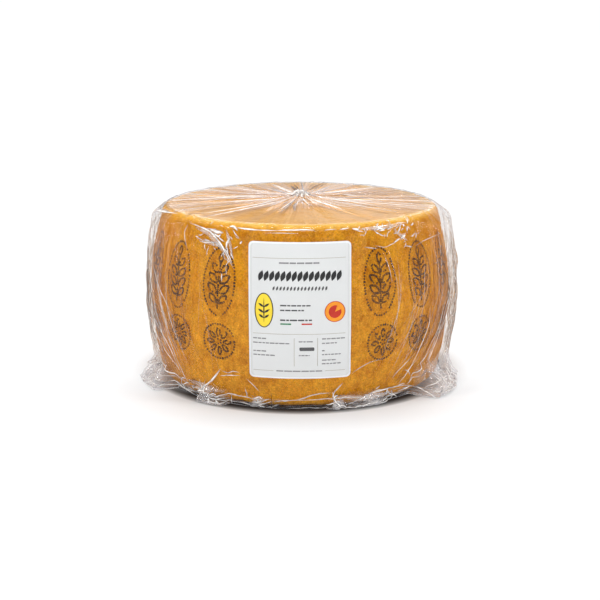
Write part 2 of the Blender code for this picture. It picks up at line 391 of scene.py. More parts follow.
def waves(points, shortest, longest, count, seed):
    """Gentle unevenness between about -1 and 1: the sum of sine waves in random directions through space,
    divided by the root of their number."""
    rng = np.random.default_rng(seed)
    total = np.zeros(points.shape[:-1])
    for _ in range(count):
        direction = rng.normal(size=3)
        direction /= np.linalg.norm(direction)
        length = rng.uniform(shortest, longest)
        total += np.sin(points @ direction * 2 * math.pi / length + rng.uniform(0, 2 * math.pi))
    return total / math.sqrt(count)


def crumple(points, shortest, longest, count, seed):
    """Crumpled film: the same of triangles from -1 to 1, so that every crest is a sharp crease."""
    rng = np.random.default_rng(seed)
    total = np.zeros(points.shape[:-1])
    for _ in range(count):
        direction = rng.normal(size=3)
        direction /= np.linalg.norm(direction)
        phase = points @ direction / rng.uniform(shortest, longest) + rng.uniform(0, 1)
        total += 4 * np.abs(phase % 1 - 0.5) - 1
    return total / math.sqrt(count)


# %% The outline of the drum
def wheel_radius(height):
    """The side of the cheese: the belly's radius less a part that grows with the square of the distance from
    the middle height, down to the radius of the head or the foot at the ends."""
    half = WHEEL_HEIGHT / 2
    share = (height - half) / half
    end_radius = np.where(share > 0, TOP_RADIUS, BASE_RADIUS)
    return BELLY_RADIUS - (BELLY_RADIUS - end_radius) * share**2


def unevenness(azimuth, height):
    """The gentle waves that draining and turning leave in the side, faded out at both edges."""
    ridges = np.sin(2 * azimuth + 0.4) + 0.6 * np.sin(5 * azimuth + 1.3 + 12 * height)
    return UNEVEN * ridges * smooth_step(height, 0, 0.05) * smooth_step(WHEEL_HEIGHT - height, 0, 0.05)


HEAD_EDGE = float(wheel_radius(WHEEL_HEIGHT - EDGE_ROUND)) - EDGE_ROUND
FOOT_EDGE = float(wheel_radius(EDGE_ROUND)) - EDGE_ROUND


def half_outline(clearance, foot_radius, foot_height):
    """Arc length, radius and height along half a section that is clear of the cheese by the clearance: flat
    head, quarter circle, curved side, and then the foot that is given."""
    rounding = EDGE_ROUND + clearance
    top = WHEEL_HEIGHT + FILM_TIGHT + clearance
    bend = np.linspace(0, math.pi / 2, 13)[1:]
    side = np.linspace(WHEEL_HEIGHT - EDGE_ROUND, EDGE_ROUND, 120)[1:]
    head = np.linspace(0, HEAD_EDGE, 40)
    bend_radius = HEAD_EDGE + rounding * np.sin(bend)
    bend_height = top - rounding * (1 - np.cos(bend))
    radius = np.concatenate([head, bend_radius, wheel_radius(side) + clearance, foot_radius])
    height = np.concatenate([np.full(40, top), bend_height, side + FILM_TIGHT, foot_height])
    arc = np.concatenate([[0], np.cumsum(np.hypot(np.diff(radius), np.diff(height)))])
    return arc, radius, height


def cheese_foot():
    """The cheese's foot: a quarter circle and the flat underside."""
    bend = np.linspace(0, math.pi / 2, 13)[1:]
    flat = np.linspace(FOOT_EDGE, 0, 20)[1:]
    radius = np.concatenate([FOOT_EDGE + EDGE_ROUND * np.cos(bend), flat])
    return radius, np.concatenate([FILM_TIGHT + EDGE_ROUND * (1 - np.sin(bend)), np.full(19, FILM_TIGHT)])


def film_foot():
    """The film's foot: two straight stretches of skirt, a small quarter circle and the flat underside."""
    bend = np.linspace(0, math.pi / 2, 7)
    edge = SKIRT_RADIUS - SKIRT_ROUND
    flat = np.linspace(edge, 0, 20)[1:]
    radius = np.concatenate([[SKIRT_RADIUS + SKIRT_FLARE], edge + SKIRT_ROUND * np.cos(bend), flat])
    return radius, np.concatenate([[SKIRT_TOP], SKIRT_ROUND * (1 - np.sin(bend)), np.zeros(19)])


def along_outline(outline, arc):
    """Radius and height at an arc length, and the outline's outward direction there as out and up."""
    arcs, radii, heights = outline
    step = 0.0008
    radius = np.interp(arc, arcs, radii)
    height = np.interp(arc, arcs, heights)
    out = np.interp(arc - step, arcs, heights) - np.interp(arc + step, arcs, heights)
    up = np.interp(arc + step, arcs, radii) - np.interp(arc - step, arcs, radii)
    length = np.hypot(out, up)
    return radius, height, out / length, up / length


def arc_at_height(outline, height):
    """The arc length at a height on the side, read the other way from the same outline."""
    arcs, radii, heights = outline
    side = (radii >= HEAD_EDGE - 1e-6) & (arcs > HEAD_EDGE - 1e-6)
    return np.interp(-np.asarray(height), -heights[side], arcs[side])


CHEESE_OUTLINE = half_outline(0.0, *cheese_foot())
FILM_OUTLINE = half_outline(FILM_TIGHT, *film_foot())
print("outline of the cheese is", round(CHEESE_OUTLINE[0][-1], 3), "m long")


# %% Grids of points into meshes
def add_piece(name, points, faces, finish):
    """A new smooth object at the origin, from an array of points and lists of corner numbers."""
    mesh = bpy.data.meshes.new(name)
    mesh.from_pydata(points.reshape(-1, 3).tolist(), [], faces)
    mesh.shade_smooth()
    mesh.materials.append(finish)
    piece = bpy.data.objects.new(name, mesh)
    bpy.context.scene.collection.objects.link(piece)
    return piece


def ring_faces(rows, columns, first=0):
    """Four-sided faces between rings of points, one ring in each row, with corner numbers from first on."""
    corner = np.arange(rows * columns).reshape(rows, columns) + first
    after = np.roll(corner, -1, axis=1)
    return np.stack([corner[:-1], corner[1:], after[1:], after[:-1]], axis=-1).reshape(-1, 4).tolist()


def rings_closed(rings):
    """Points and faces of a closed body from rings of points that run from its top to its underside: the
    faces between the rings, and a fan of triangles to the middle of the first ring and of the last."""
    rows, columns = rings.shape[:2]
    top_ring = np.arange(columns)
    foot_ring = top_ring + (rows - 1) * columns
    middle = np.full(columns, rows * columns)
    head_fan = np.stack([middle, top_ring, np.roll(top_ring, -1)], axis=-1)
    foot_fan = np.stack([middle + 1, np.roll(foot_ring, -1), foot_ring], axis=-1)
    points = np.concatenate([rings.reshape(-1, 3), rings[[0, -1]].mean(axis=1)])
    return points, ring_faces(rows, columns) + head_fan.tolist() + foot_fan.tolist()


def spaced(marks, counts):
    """Arc lengths in even steps between each mark and the next, as many as the count for that stretch."""
    stretches = [np.linspace(a, b, n + 1)[:-1] for a, b, n in zip(marks[:-1], marks[1:], counts)]
    return np.concatenate([*stretches, marks[-1:]])


def set_values(piece, name, values, kind="FLOAT", field="value"):
    """Store a number or a vector for each vertex, as a named attribute that a material can read. The fans'
    middles, which come last, get 0."""
    store = piece.data.attributes.new(name, kind, "POINT")
    padded = np.zeros(len(piece.data.vertices) * (3 if field == "vector" else 1), np.float32)
    padded[: values.size] = values.ravel()
    store.data.foreach_set(field, padded)


# %% [markdown]
# ## Mottling
#
# Nothing on this object has one flat colour. Rind, ink, paper and film all need a soft blotchy value, at
# their own size. That is one noise texture with its contrast raised, so it is built once as a node group,
# with the size of the blotches in metres as an input, and each material places it with its own values.


# %% The mottle group
def make_mottle_group():
    """A group that gives a value from 0 to 1 in soft blotches of a given size: noise less a half, times the
    contrast, plus a half."""
    group = bpy.data.node_groups.new("mottle", "ShaderNodeTree")
    group.interface.new_socket("Vector", in_out="INPUT", socket_type="NodeSocketVector")
    for name in ("Size", "Contrast"):
        group.interface.new_socket(name, in_out="INPUT", socket_type="NodeSocketFloat")
    group.interface.new_socket("Value", in_out="OUTPUT", socket_type="NodeSocketFloat")
    given = add_node(group, "NodeGroupInput")
    scale = maths(group, "DIVIDE", 1.0, given.outputs["Size"])
    inputs = {"Vector": given.outputs["Vector"], "Scale": scale, "Detail": 2.0, "Roughness": 0.55}
    noise = add_node(group, "ShaderNodeTexNoise", inputs).outputs[0]
    centred = maths(group, "SUBTRACT", noise, 0.5)
    spread = maths(group, "MULTIPLY_ADD", centred, given.outputs["Contrast"], 0.5, clamp=True)
    add_node(group, "NodeGroupOutput", {"Value": spread})
    return group


MOTTLE = make_mottle_group()


def mottle(tree, vector, size, contrast=2.0):
    """The mottle group placed in a material."""
    inputs = {"Vector": vector, "Size": size, "Contrast": contrast}
    return add_node(tree, "ShaderNodeGroup", inputs, node_tree=MOTTLE).outputs["Value"]


print("mottle group has", len(MOTTLE.nodes), "nodes")

# %% [markdown]
# ## The rind
#
# The rind is the cheese's own dried and oiled surface: golden ochre, darker and more orange in patches,
# with a fine grain and faint upright scratches from brushing. Mottling of four sizes gives the patches, the
# blotches, the flecks and the grain, and the same values drive the bump, so that light and colour agree.
# The head is painted paler, as light from above, and its raised border paler still: a painted highlight that
# breaks up in patches and fades towards the left shoulder. A stored value darkens the rind a little inside
# the marks, where the mould has pressed it.

# %% The rind's colours and material
RIND_DEEP = (0.415, 0.133, 0.004, 1)
RIND_MIDDLE = (0.586, 0.214, 0.006, 1)
RIND_LIGHT = (0.723, 0.333, 0.017, 1)
RIND_BORDER_HIGHLIGHT = (0.760, 0.465, 0.105, 1)
RIND_HEAD_PAINTED_LIGHT = (0.745, 0.390, 0.058, 1)  # the head is painted paler, as light from above
RIND_PRESSED = (0.78, 0.72, 0.62, 1)
BORDER_HIGHLIGHT_FADE = (-0.185, -0.125)  # the border's painted highlight fades between these places, towards the left shoulder


def border_highlight_mask(tree, place, level):
    """How much the border's painted highlight shows: near the top, close to the head's edge, broken up in
    patches and fading towards the left shoulder.
    """
    away = distance(tree, stretched(tree, place, (1, 1, 0)))
    mask = between(tree, level, WHEEL_HEIGHT - 0.003, WHEEL_HEIGHT + 0.001, 0.0, 0.80)
    mask = maths(tree, "MULTIPLY", mask, between(tree, away, HEAD_EDGE - BORDER_WIDTH, HEAD_EDGE - 0.006))
    wear_and_highlight_breaks = between(tree, mottle(tree, place, 0.030, 2.0), 0.38, 0.62, 0.30, 1.0)
    sideways = coordinate(tree, place, "X")
    wear_and_highlight_breaks = maths(tree, "MULTIPLY", wear_and_highlight_breaks, between(tree, sideways, *BORDER_HIGHLIGHT_FADE, 0.10, 1.0))
    return maths(tree, "MULTIPLY", mask, wear_and_highlight_breaks)


def make_rind():
    """The colour is blended by patches, then by blotches and flecks, then towards the paler head and border,
    which are painted light from above, and multiplied by the grain, the scratches and the pressed tint. The
    bump is a weighted sum."""
    made, tree, output = new_material("golden_rind")
    place = object_place(tree)
    brushed_way = stretched(tree, place, (1, 1, 0.25))
    patches = mottle(tree, place, 0.055, 3.2)
    blotches = mottle(tree, place, 0.013, 3.0)
    flecks = mottle(tree, place, 0.0048, 3.0)
    grain = mottle(tree, place, 0.0021, 2.6)
    brushed = mottle(tree, brushed_way, 0.005, 2.4)
    colour = mixed(tree, patches, RIND_DEEP, RIND_MIDDLE)
    light = maths(tree, "MULTIPLY_ADD", blotches, 0.55, maths(tree, "MULTIPLY", flecks, 0.35))
    colour = mixed(tree, light, colour, RIND_LIGHT)
    level = coordinate(tree, place, "Z")
    # Painted light from above: the head is paler, and its border paler still.
    on_head = between(tree, level, WHEEL_HEIGHT - 0.006, WHEEL_HEIGHT + 0.0005, 0.0, 0.70)
    colour = mixed(tree, on_head, colour, RIND_HEAD_PAINTED_LIGHT)
    colour = mixed(tree, border_highlight_mask(tree, place, level), colour, RIND_BORDER_HIGHLIGHT)
    speckle = between(tree, grain, 0.0, 1.0, 0.74, 1.20)
    scratch = between(tree, brushed, 0.0, 1.0, 0.90, 1.08)
    shade = maths(tree, "MULTIPLY", speckle, scratch)
    grey = add_node(tree, "ShaderNodeCombineColor", {0: shade, 1: shade, 2: shade}).outputs[0]
    colour = mixed(tree, 1.0, colour, grey, "MULTIPLY")
    colour = mixed(tree, stored(tree, "pressed"), colour, mixed(tree, 1.0, colour, RIND_PRESSED, "MULTIPLY"))
    height = maths(tree, "MULTIPLY_ADD", grain, 0.5, maths(tree, "MULTIPLY", blotches, 0.8))
    height = maths(tree, "MULTIPLY_ADD", brushed, 0.25, height)
    height = maths(tree, "MULTIPLY_ADD", flecks, 0.35, height)
    bump = add_node(tree, "ShaderNodeBump", {"Height": height, "Distance": 0.0008, "Strength": 0.7})
    inputs = {
        "Base Color": colour,
        "Roughness": between(tree, blotches, 0.0, 1.0, 0.66, 0.52),
        "Specular IOR Level": 0.08,
        "Normal": bump.outputs[0],
    }
    return coated(made, tree, output, inputs)


rind = make_rind()
print("rind material has", len(rind.node_tree.nodes), "nodes")

# %% [markdown]
# ## The cheese
#
# The wheel is uncut, so it is one closed drum. It is a grid of rings from the middle of the head to the
# middle of the underside. The outline gives each ring's radius and height, and a faint relief along the
# outward direction gives the dents and the cloth's unevenness that a mould leaves.

# %% The cheese as a surface
CHEESE_COLUMNS = 480
RELIEF_FINE = 0.00016
RELIEF_BROAD = 0.00035


def cheese_surface(azimuth, arc):
    """Points of the rind. Radius and height come from the outline, the head is lower inside its border, the
    side has its waves, and a relief of short and long random waves is added along the outward direction."""
    radius, height, out, up = along_outline(CHEESE_OUTLINE, arc)
    turned = around(radius, azimuth, height)
    relief = RELIEF_FINE * waves(turned, 0.009, 0.020, 14, 11)
    relief += RELIEF_BROAD * waves(turned, 0.030, 0.090, 10, 12)
    relief = relief * smooth_step(height, FILM_TIGHT, 0.012)
    relief += smooth_step(radius, 0.17, 0.19) * unevenness(azimuth, height - FILM_TIGHT)
    on_head = height > WHEEL_HEIGHT / 2
    relief -= BORDER_RISE * on_head * (1 - smooth_step(radius, HEAD_EDGE - BORDER_WIDTH, HEAD_EDGE))
    wide = radius + relief * out
    return around(wide, azimuth, height + relief * up)


cheese_end = CHEESE_OUTLINE[0][-1]
cheese_marks = [0.004, HEAD_EDGE, HEAD_EDGE + 0.019]
cheese_marks += [cheese_end - FOOT_EDGE - 0.019, cheese_end - FOOT_EDGE, cheese_end - 0.004]
cheese_arcs = spaced(cheese_marks, [44, 8, 88, 8, 16])
cheese_turns = np.linspace(-math.pi, math.pi, CHEESE_COLUMNS, endpoint=False)
turn_grid, arc_grid = np.meshgrid(cheese_turns, cheese_arcs)
cheese_rings = cheese_surface(turn_grid, arc_grid)
cheese = add_piece("cheese", *rings_closed(cheese_rings), rind)
print("cheese:", len(cheese.data.polygons), "faces")

# %% [markdown]
# ## The marks on the rind
#
# The mould presses rows of dotted marks into the side of such a wheel, and they dry dark. These are a plain
# design: upright ovals with a leafy sprig above, and rings with a rosette below, in columns all round, with
# the front left clear. Every stroke is a run of short dashes. A dash is a tiny closed lens of a few faces
# that lies on the rind and leans with it, so all of them together stay a light mesh.

# %% The strokes of the two marks, in millimetres from the middle of the mark
DASH_PITCH = 2.7
RING_PITCH = 3.9
SPRIG_OVAL = (24.0, 43.5)  # half width and half height
ROSETTE_RING = 23.5


def stroke(across, up, pitch=DASH_PITCH):
    """Dashes along a smooth stroke that is given as arrays of points: even places and their slopes."""
    length = np.concatenate([[0], np.cumsum(np.hypot(np.diff(across), np.diff(up)))])
    count = max(2, int(round(length[-1] / pitch)))
    stations = (np.arange(count) + 0.5) / count * length[-1]
    x = np.interp(stations, length, across)
    y = np.interp(stations, length, up)
    ahead = np.minimum(stations + 0.5, length[-1])
    behind = np.maximum(stations - 0.5, 0)
    slope_x = np.interp(ahead, length, across) - np.interp(behind, length, across)
    slope_y = np.interp(ahead, length, up) - np.interp(behind, length, up)
    return np.stack([x, y, np.arctan2(slope_y, slope_x)], axis=1)


def oval_stroke(half_width, half_height):
    """An ellipse: half width times the cosine and half height times the sine."""
    angle = np.linspace(0, 2 * math.pi, 90)
    return stroke(half_width * np.cos(angle), half_height * np.sin(angle), RING_PITCH)


def leaf_stroke(base, tip, fullness):
    """Both edges of a leaf: the straight line from base to tip, pushed out by fullness times a half sine."""
    t = np.linspace(0, 1, 30)
    way_x, way_y = tip[0] - base[0], tip[1] - base[1]
    edges = []
    for side in (1, -1):
        push = side * fullness * np.sin(math.pi * t)
        across = base[0] + way_x * t - way_y * push
        up = base[1] + way_y * t + way_x * push
        edges.append(stroke(across, up))
    return np.concatenate(edges)


def sprig_mark():
    """An upright oval round a stem with pairs of leaves that shorten towards the tip."""
    strokes = [oval_stroke(*SPRIG_OVAL)]
    strokes.append(stroke(np.zeros(2), np.array([-35.0, 27.0])))
    for level, reach in ((-27.0, 13.5), (-14.0, 16.5), (-1.0, 16.0), (12.0, 12.5)):
        for side in (1, -1):
            strokes.append(leaf_stroke((side * 1.8, level), (side * reach, level + 11.0), 0.24))
    strokes.append(leaf_stroke((0.0, 24.0), (0.0, 38.0), 0.22))
    return np.concatenate(strokes)


def rosette_mark():
    """A ring round eight petals."""
    strokes = [oval_stroke(ROSETTE_RING, ROSETTE_RING), oval_stroke(3.4, 3.4)]
    for petal in range(8):
        angle = petal * math.pi / 4
        base = (6.4 * math.cos(angle), 6.4 * math.sin(angle))
        tip = (18.5 * math.cos(angle), 18.5 * math.sin(angle))
        strokes.append(leaf_stroke(base, tip, 0.22))
    return np.concatenate(strokes)


sprig = sprig_mark()
rosette = rosette_mark()
print("a sprig has", len(sprig), "dashes and a rosette", len(rosette))

# %% The marks on the cheese
MARK_FIRST = math.radians(30.5)  # from the front to the first column on each side
MARK_COLUMNS = 16
SPRIG_HEIGHT = 0.1650
ROSETTE_HEIGHT = 0.0850
DASH_LENGTH = 0.0030
DASH_WIDTH = 0.0032
DASH_RISE = 0.00016
DASH_CORNERS = 8
DASH_STRAY = 0.00018  # how far a dash is out of place
DASHES_LOST = 0.06  # the share of them that is missing
MARK_STRAY = 0.0012  # how far a whole mark is out of place
MARK_DARK = (0.052, 0.020, 0.006, 1)
MARK_WORN = (0.250, 0.100, 0.014, 1)

mark_turns = FRONT + np.linspace(MARK_FIRST, 2 * math.pi - MARK_FIRST, MARK_COLUMNS)


def place_marks(rng):
    """Azimuth, height and slope of every dash. A few are missing and all are a little out of place."""
    dashes = []
    for column in mark_turns:
        for shape, middle in ((sprig, SPRIG_HEIGHT), (rosette, ROSETTE_HEIGHT)):
            lean = rng.normal(0, 0.02)
            x = shape[:, 0] * math.cos(lean) - shape[:, 1] * math.sin(lean)
            y = shape[:, 0] * math.sin(lean) + shape[:, 1] * math.cos(lean)
            x = x / 1000 + rng.normal(0, MARK_STRAY) + rng.normal(0, DASH_STRAY, len(x))
            y = y / 1000 + rng.normal(0, MARK_STRAY) + rng.normal(0, DASH_STRAY, len(y))
            kept = rng.random(len(x)) > DASHES_LOST
            placed = np.stack([column + x / BELLY_RADIUS, middle + y, shape[:, 2] + lean], axis=1)
            dashes.append(placed[kept])
    return np.concatenate(dashes)


def dash_lenses(dashes, rng):
    """Points and faces of flat closed lenses: a ring of corners in the rind, one point above and one below.
    The ring is an ellipse along the stroke, in the plane that touches the cheese there."""
    azimuth, height, slope = dashes.T
    count = len(dashes)
    arc = arc_at_height(CHEESE_OUTLINE, height)
    middle = cheese_surface(azimuth, arc)
    step = 0.001
    along = cheese_surface(azimuth, arc - step) - cheese_surface(azimuth, arc + step)
    along /= np.linalg.norm(along, axis=1, keepdims=True)
    across = np.stack([-np.sin(azimuth), np.cos(azimuth), np.zeros(count)], axis=1)
    outward = np.cross(across, along)
    angle = np.linspace(0, 2 * math.pi, DASH_CORNERS, endpoint=False)[None, :, None]
    size = rng.uniform(0.8, 1.15, (count, 1, 1))
    major = DASH_LENGTH / 2 * size * np.cos(angle)
    minor = DASH_WIDTH / 2 * size * np.sin(angle)
    tilt = slope[:, None, None]
    ring = middle[:, None, :] + across[:, None, :] * (major * np.cos(tilt) - minor * np.sin(tilt))
    ring = ring + along[:, None, :] * (major * np.sin(tilt) + minor * np.cos(tilt))
    ring = ring + outward[:, None, :] * DASH_RISE * 0.4
    crown = (middle + outward * DASH_RISE)[:, None, :]
    root = (middle - outward * DASH_RISE)[:, None, :]
    points = np.concatenate([ring, crown, root], axis=1)
    corner = np.arange(DASH_CORNERS)
    after = np.roll(corner, -1)
    upper = np.stack([corner, after, np.full(DASH_CORNERS, DASH_CORNERS)], axis=1)
    lower = np.stack([after, corner, np.full(DASH_CORNERS, DASH_CORNERS + 1)], axis=1)
    one = np.concatenate([upper, lower])
    faces = one[None] + (np.arange(count) * (DASH_CORNERS + 2))[:, None, None]
    return points.reshape(-1, 3), faces.reshape(-1, 3).tolist()


def make_mark_brown():
    """Dark brown, and lighter where two mottlings multiplied together leave it worn."""
    made, tree, output = new_material("mark_brown")
    place = object_place(tree)
    wear_and_highlight_breaks = maths(tree, "MULTIPLY", mottle(tree, place, 0.016, 3.0), mottle(tree, place, 0.003, 2.0))
    colour = mixed(tree, maths(tree, "MULTIPLY", wear_and_highlight_breaks, 1.5, clamp=True), MARK_DARK, MARK_WORN)
    roughness = between(tree, wear_and_highlight_breaks, 0, 1, 0.5, 0.7)
    inputs = {"Base Color": colour, "Roughness": roughness, "Specular IOR Level": 0.3}
    return coated(made, tree, output, inputs)


mark_rng = np.random.default_rng(5)
mark_dashes = place_marks(mark_rng)
marks = add_piece("rind_marks", *dash_lenses(mark_dashes, mark_rng), make_mark_brown())
print("marks:", len(mark_dashes), "dashes")

# %% The rind is a little darker and greyer inside each mark
pressed = np.zeros(turn_grid.shape)
cheese_heights = cheese_rings[..., 2]
for column in mark_turns:
    across = turn(turn_grid, column) * BELLY_RADIUS
    above = cheese_heights - SPRIG_HEIGHT
    sprig_away = np.hypot(across / (SPRIG_OVAL[0] / 1000), above / (SPRIG_OVAL[1] / 1000))
    rosette_away = np.hypot(across, cheese_heights - ROSETTE_HEIGHT) / (ROSETTE_RING / 1000)
    nearest = np.minimum(sprig_away, rosette_away)
    pressed = np.maximum(pressed, 1 - smooth_step(nearest, 0.90, 1.15))
set_values(cheese, "pressed", pressed * 0.6)
print("pressed rind:", int((pressed > 0.3).sum()), "points")

# %% [markdown]
# ## The film's form
#
# The film hugs the front of the wheel, hangs slack at the sides, puffs out in pouches at the foot, and runs
# up over the head to a knot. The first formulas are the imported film's own. Relief is then added along the
# outward direction: rays on the head that meet at the knot, upright folds where the film hangs slack,
# crumpling in the pouches, small lumps between them, tugs across the rim and one hem round the foot. All of
# it fades out under the label.


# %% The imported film's form
def slackness(azimuth):
    """0 where the film is drawn tight over the front, 1 at the sides, and about a half at the back."""
    from_front = np.abs(turn(azimuth, FRONT))
    from_back = np.abs(turn(azimuth, -FRONT))
    behind = 1 - smooth_step(from_back, math.radians(20), math.radians(75))
    return smooth_step(from_front, math.radians(32), math.radians(78)) * (1 - 0.45 * behind)


def loose_film_radius(azimuth, height):
    """The slack film's radius: widest near the belly, less a part that grows with the square of the distance
    from it."""
    away = (height - LOOSE_MIDDLE) / LOOSE_SPAN
    fall = np.where(away > 0, LOOSE_FALL_ABOVE, LOOSE_FALL_BELOW)
    return LOOSE_RADIUS + LOOSE_SHIFT * np.cos(azimuth) - fall * away**2


def side_folds(azimuth, height):
    """Broad and narrow upright folds, two sines that run a little aslant round the side."""
    broad = 0.5 + 0.5 * np.sin(16 * azimuth + 9 * height + 0.8)
    narrow = 0.5 + 0.5 * np.sin(27 * azimuth - 14 * height + 2.1)
    return SIDE_FOLD * (0.6 * broad + 0.4 * narrow)


def foot_pouches(azimuth, height):
    """How far the gathered slack at the foot stands out: bumps in azimuth that close with height."""
    reach = np.zeros_like(azimuth)
    for centre, before, after, depth, top in FOOT_FOLDS:
        away = turn(azimuth, math.radians(centre))
        away = np.abs(away) / np.radians(np.where(away < 0, before, after))
        across = np.clip(1 - away**2, 0, 1) ** POUCH_BLUNT
        rise = 1 - np.clip(height / top, 0, 1) ** 2
        ripple = 1 + 0.08 * np.sin(5 * away + 60 * height + centre)
        reach = np.maximum(reach, depth * across * rise * ripple)
    return reach


def knot_rise(radius):
    """The gathered ends above the head: a small cone that flares into the flat film."""
    return KNOT_HEIGHT * np.exp(-((radius / KNOT_SPREAD) ** 1.2))


def pleats(azimuth, radius):
    """Rays of folded film from the knot to the rim: two rectified sines, tallest near the knot."""
    many = np.abs(np.sin(10 * azimuth + 0.9)) + 0.6 * np.abs(np.sin(6.5 * azimuth + 0.3))
    fade = smooth_step(radius, 0.004, 0.02) * (1 - 0.75 * smooth_step(radius, 0.03, 0.15))
    return PLEAT_HEIGHT * 0.6 * many * fade * (1 - smooth_step(radius, 0.155, 0.178))


# %% The film's relief
fold_rng = np.random.default_rng(21)
RAYS = 46
UPRIGHTS = 70
TUGS = 90
SWEEP = 3.5  # radians for each metre of height
SWEEP_TOP = 0.155  # the folds hang straight above this height
SWEEP_EASE = 0.06  # how slowly they begin to swing


def random_rows(count, *ranges):
    """One row of values for each fold. Each range is drawn for all the folds at once."""
    return np.stack([fold_rng.uniform(low, high, count) for low, high in ranges], axis=1)


# azimuth, half width in radians, height, and the radius where the ray ends
ray_table = random_rows(RAYS, (-math.pi, math.pi), (0.022, 0.075), (0.0004, 0.0015), (0.05, 0.19))
# azimuth at mid height, slant in radians for each metre, half width, height, lower end and upper end
upright_turns = random_rows(UPRIGHTS, (-math.pi, math.pi))
upright_slants = fold_rng.normal(0, 0.55, (UPRIGHTS, 1))
upright_sizes = random_rows(UPRIGHTS, (0.004, 0.010), (0.0008, 0.0026), (0.02, 0.10), (0.14, 0.235))
upright_table = np.concatenate([upright_turns, upright_slants, upright_sizes], axis=1)
# azimuth, half width, height, and reach to each side of the rim
tug_table = random_rows(TUGS, (-math.pi, math.pi), (0.003, 0.008), (0.00025, 0.0009), (0.010, 0.035))
print(len(ray_table), "rays,", len(upright_table), "upright folds and", len(tug_table), "tugs")


def head_rays(azimuth, radius):
    """Sharp rays: tents across the azimuth that narrow towards the knot and fade out where they end."""
    relief = np.zeros_like(azimuth)
    for centre, half_width, rise, end in ray_table:
        fade = smooth_step(radius, 0.006, 0.03) * (1 - smooth_step(radius, end * 0.7, end))
        relief += rise * tent(turn(azimuth, centre) / half_width) * fade
    return relief


def sweep(azimuth, height):
    """How far the folds have swung round towards the front, in radians: nothing above SWEEP_TOP, and below
    it SWEEP times b*b / (b + SWEEP_EASE), with b the distance below, times the sine of the angle from the
    front, so most at the two sides."""
    below = np.maximum(SWEEP_TOP - height, 0)
    return -SWEEP * np.sin(azimuth - FRONT) * below**2 / (below + SWEEP_EASE)


def upright_folds(azimuth, height):
    """Tents across the side, along lines that lean a little and fade out at both ends."""
    relief = np.zeros_like(azimuth)
    for centre, slant, half_width, rise, low, high in upright_table:
        across = turn(azimuth, centre + sweep(centre, height) + slant * (height - 0.12)) * BELLY_RADIUS
        fade = smooth_step(height, low - 0.02, low + 0.02) * (1 - smooth_step(height, high - 0.03, high))
        relief += rise * tent(across / half_width) * fade
    return relief


def rim_tugs(azimuth, from_rim):
    """Short tents across the rounded rim, where the film is pulled over it."""
    relief = np.zeros_like(azimuth)
    for centre, half_width, rise, reach in tug_table:
        fade = np.clip(1 - np.abs(from_rim) / reach, 0, 1)
        relief += rise * tent(turn(azimuth, centre) * 0.19 / half_width) * fade
    return relief


def off_label(azimuth, height):
    """0 under the label and close round it, 1 further away."""
    beside = np.abs(turn(azimuth, FRONT)) * BELLY_RADIUS - LABEL_WIDTH / 2
    above = np.maximum(height - LABEL_TOP, LABEL_BOTTOM - height)
    return smooth_step(np.maximum(beside, above), 0.001, 0.014)


# %% The film as a surface
HEM_HEIGHT = 0.0135
HEM_FOLD = 0.0020
POUCH_CRUMPLE = 0.0034
LUMPS = [  # small lumps at the foot: azimuth and half width in degrees, and how far they stand out
    (-127.0, 8.0, 0.0040),
    (-105.5, 5.0, 0.0045),
    (-75.5, 4.0, 0.0045),
    (-62.0, 7.0, 0.0035),
    (88.0, 8.0, 0.0040),
    (118.0, 9.0, 0.0035),
]
LUMP_HEIGHT = 0.024


def foot_lumps(azimuth, height):
    """From 0 to the rise of a lump: a raised cosine across the azimuth times one that falls with height."""
    total = np.zeros_like(azimuth)
    up = 0.5 + 0.5 * np.cos(math.pi * np.clip(height / LUMP_HEIGHT, 0, 1))
    for centre, half_width, rise in LUMPS:
        away = np.clip(np.abs(turn(azimuth, math.radians(centre))) / math.radians(half_width), 0, 1)
        total += rise * (0.5 + 0.5 * np.cos(math.pi * away)) * up
    return total


def film_fields(azimuth, arc):
    """The tight film's place and directions, and how slack and how pouched the film is there."""
    radius, height, out, up = along_outline(FILM_OUTLINE, arc)
    turned = around(radius, azimuth, height)
    on_head = height > WHEEL_HEIGHT + FILM_TIGHT
    on_side = smooth_step(radius, 0.165, 0.1905)
    drop = WHEEL_HEIGHT + 2 * FILM_TIGHT - height
    loose = slackness(azimuth) * on_side * smooth_step(height, 0, 0.010)
    loose = loose * smooth_step(drop, 0, SHOULDER_DROP)
    pouch = foot_pouches(azimuth, height) * smooth_step(radius, 0.10, FOOT_EDGE) * ~on_head
    return radius, height, out, up, turned, on_head, on_side, loose, pouch


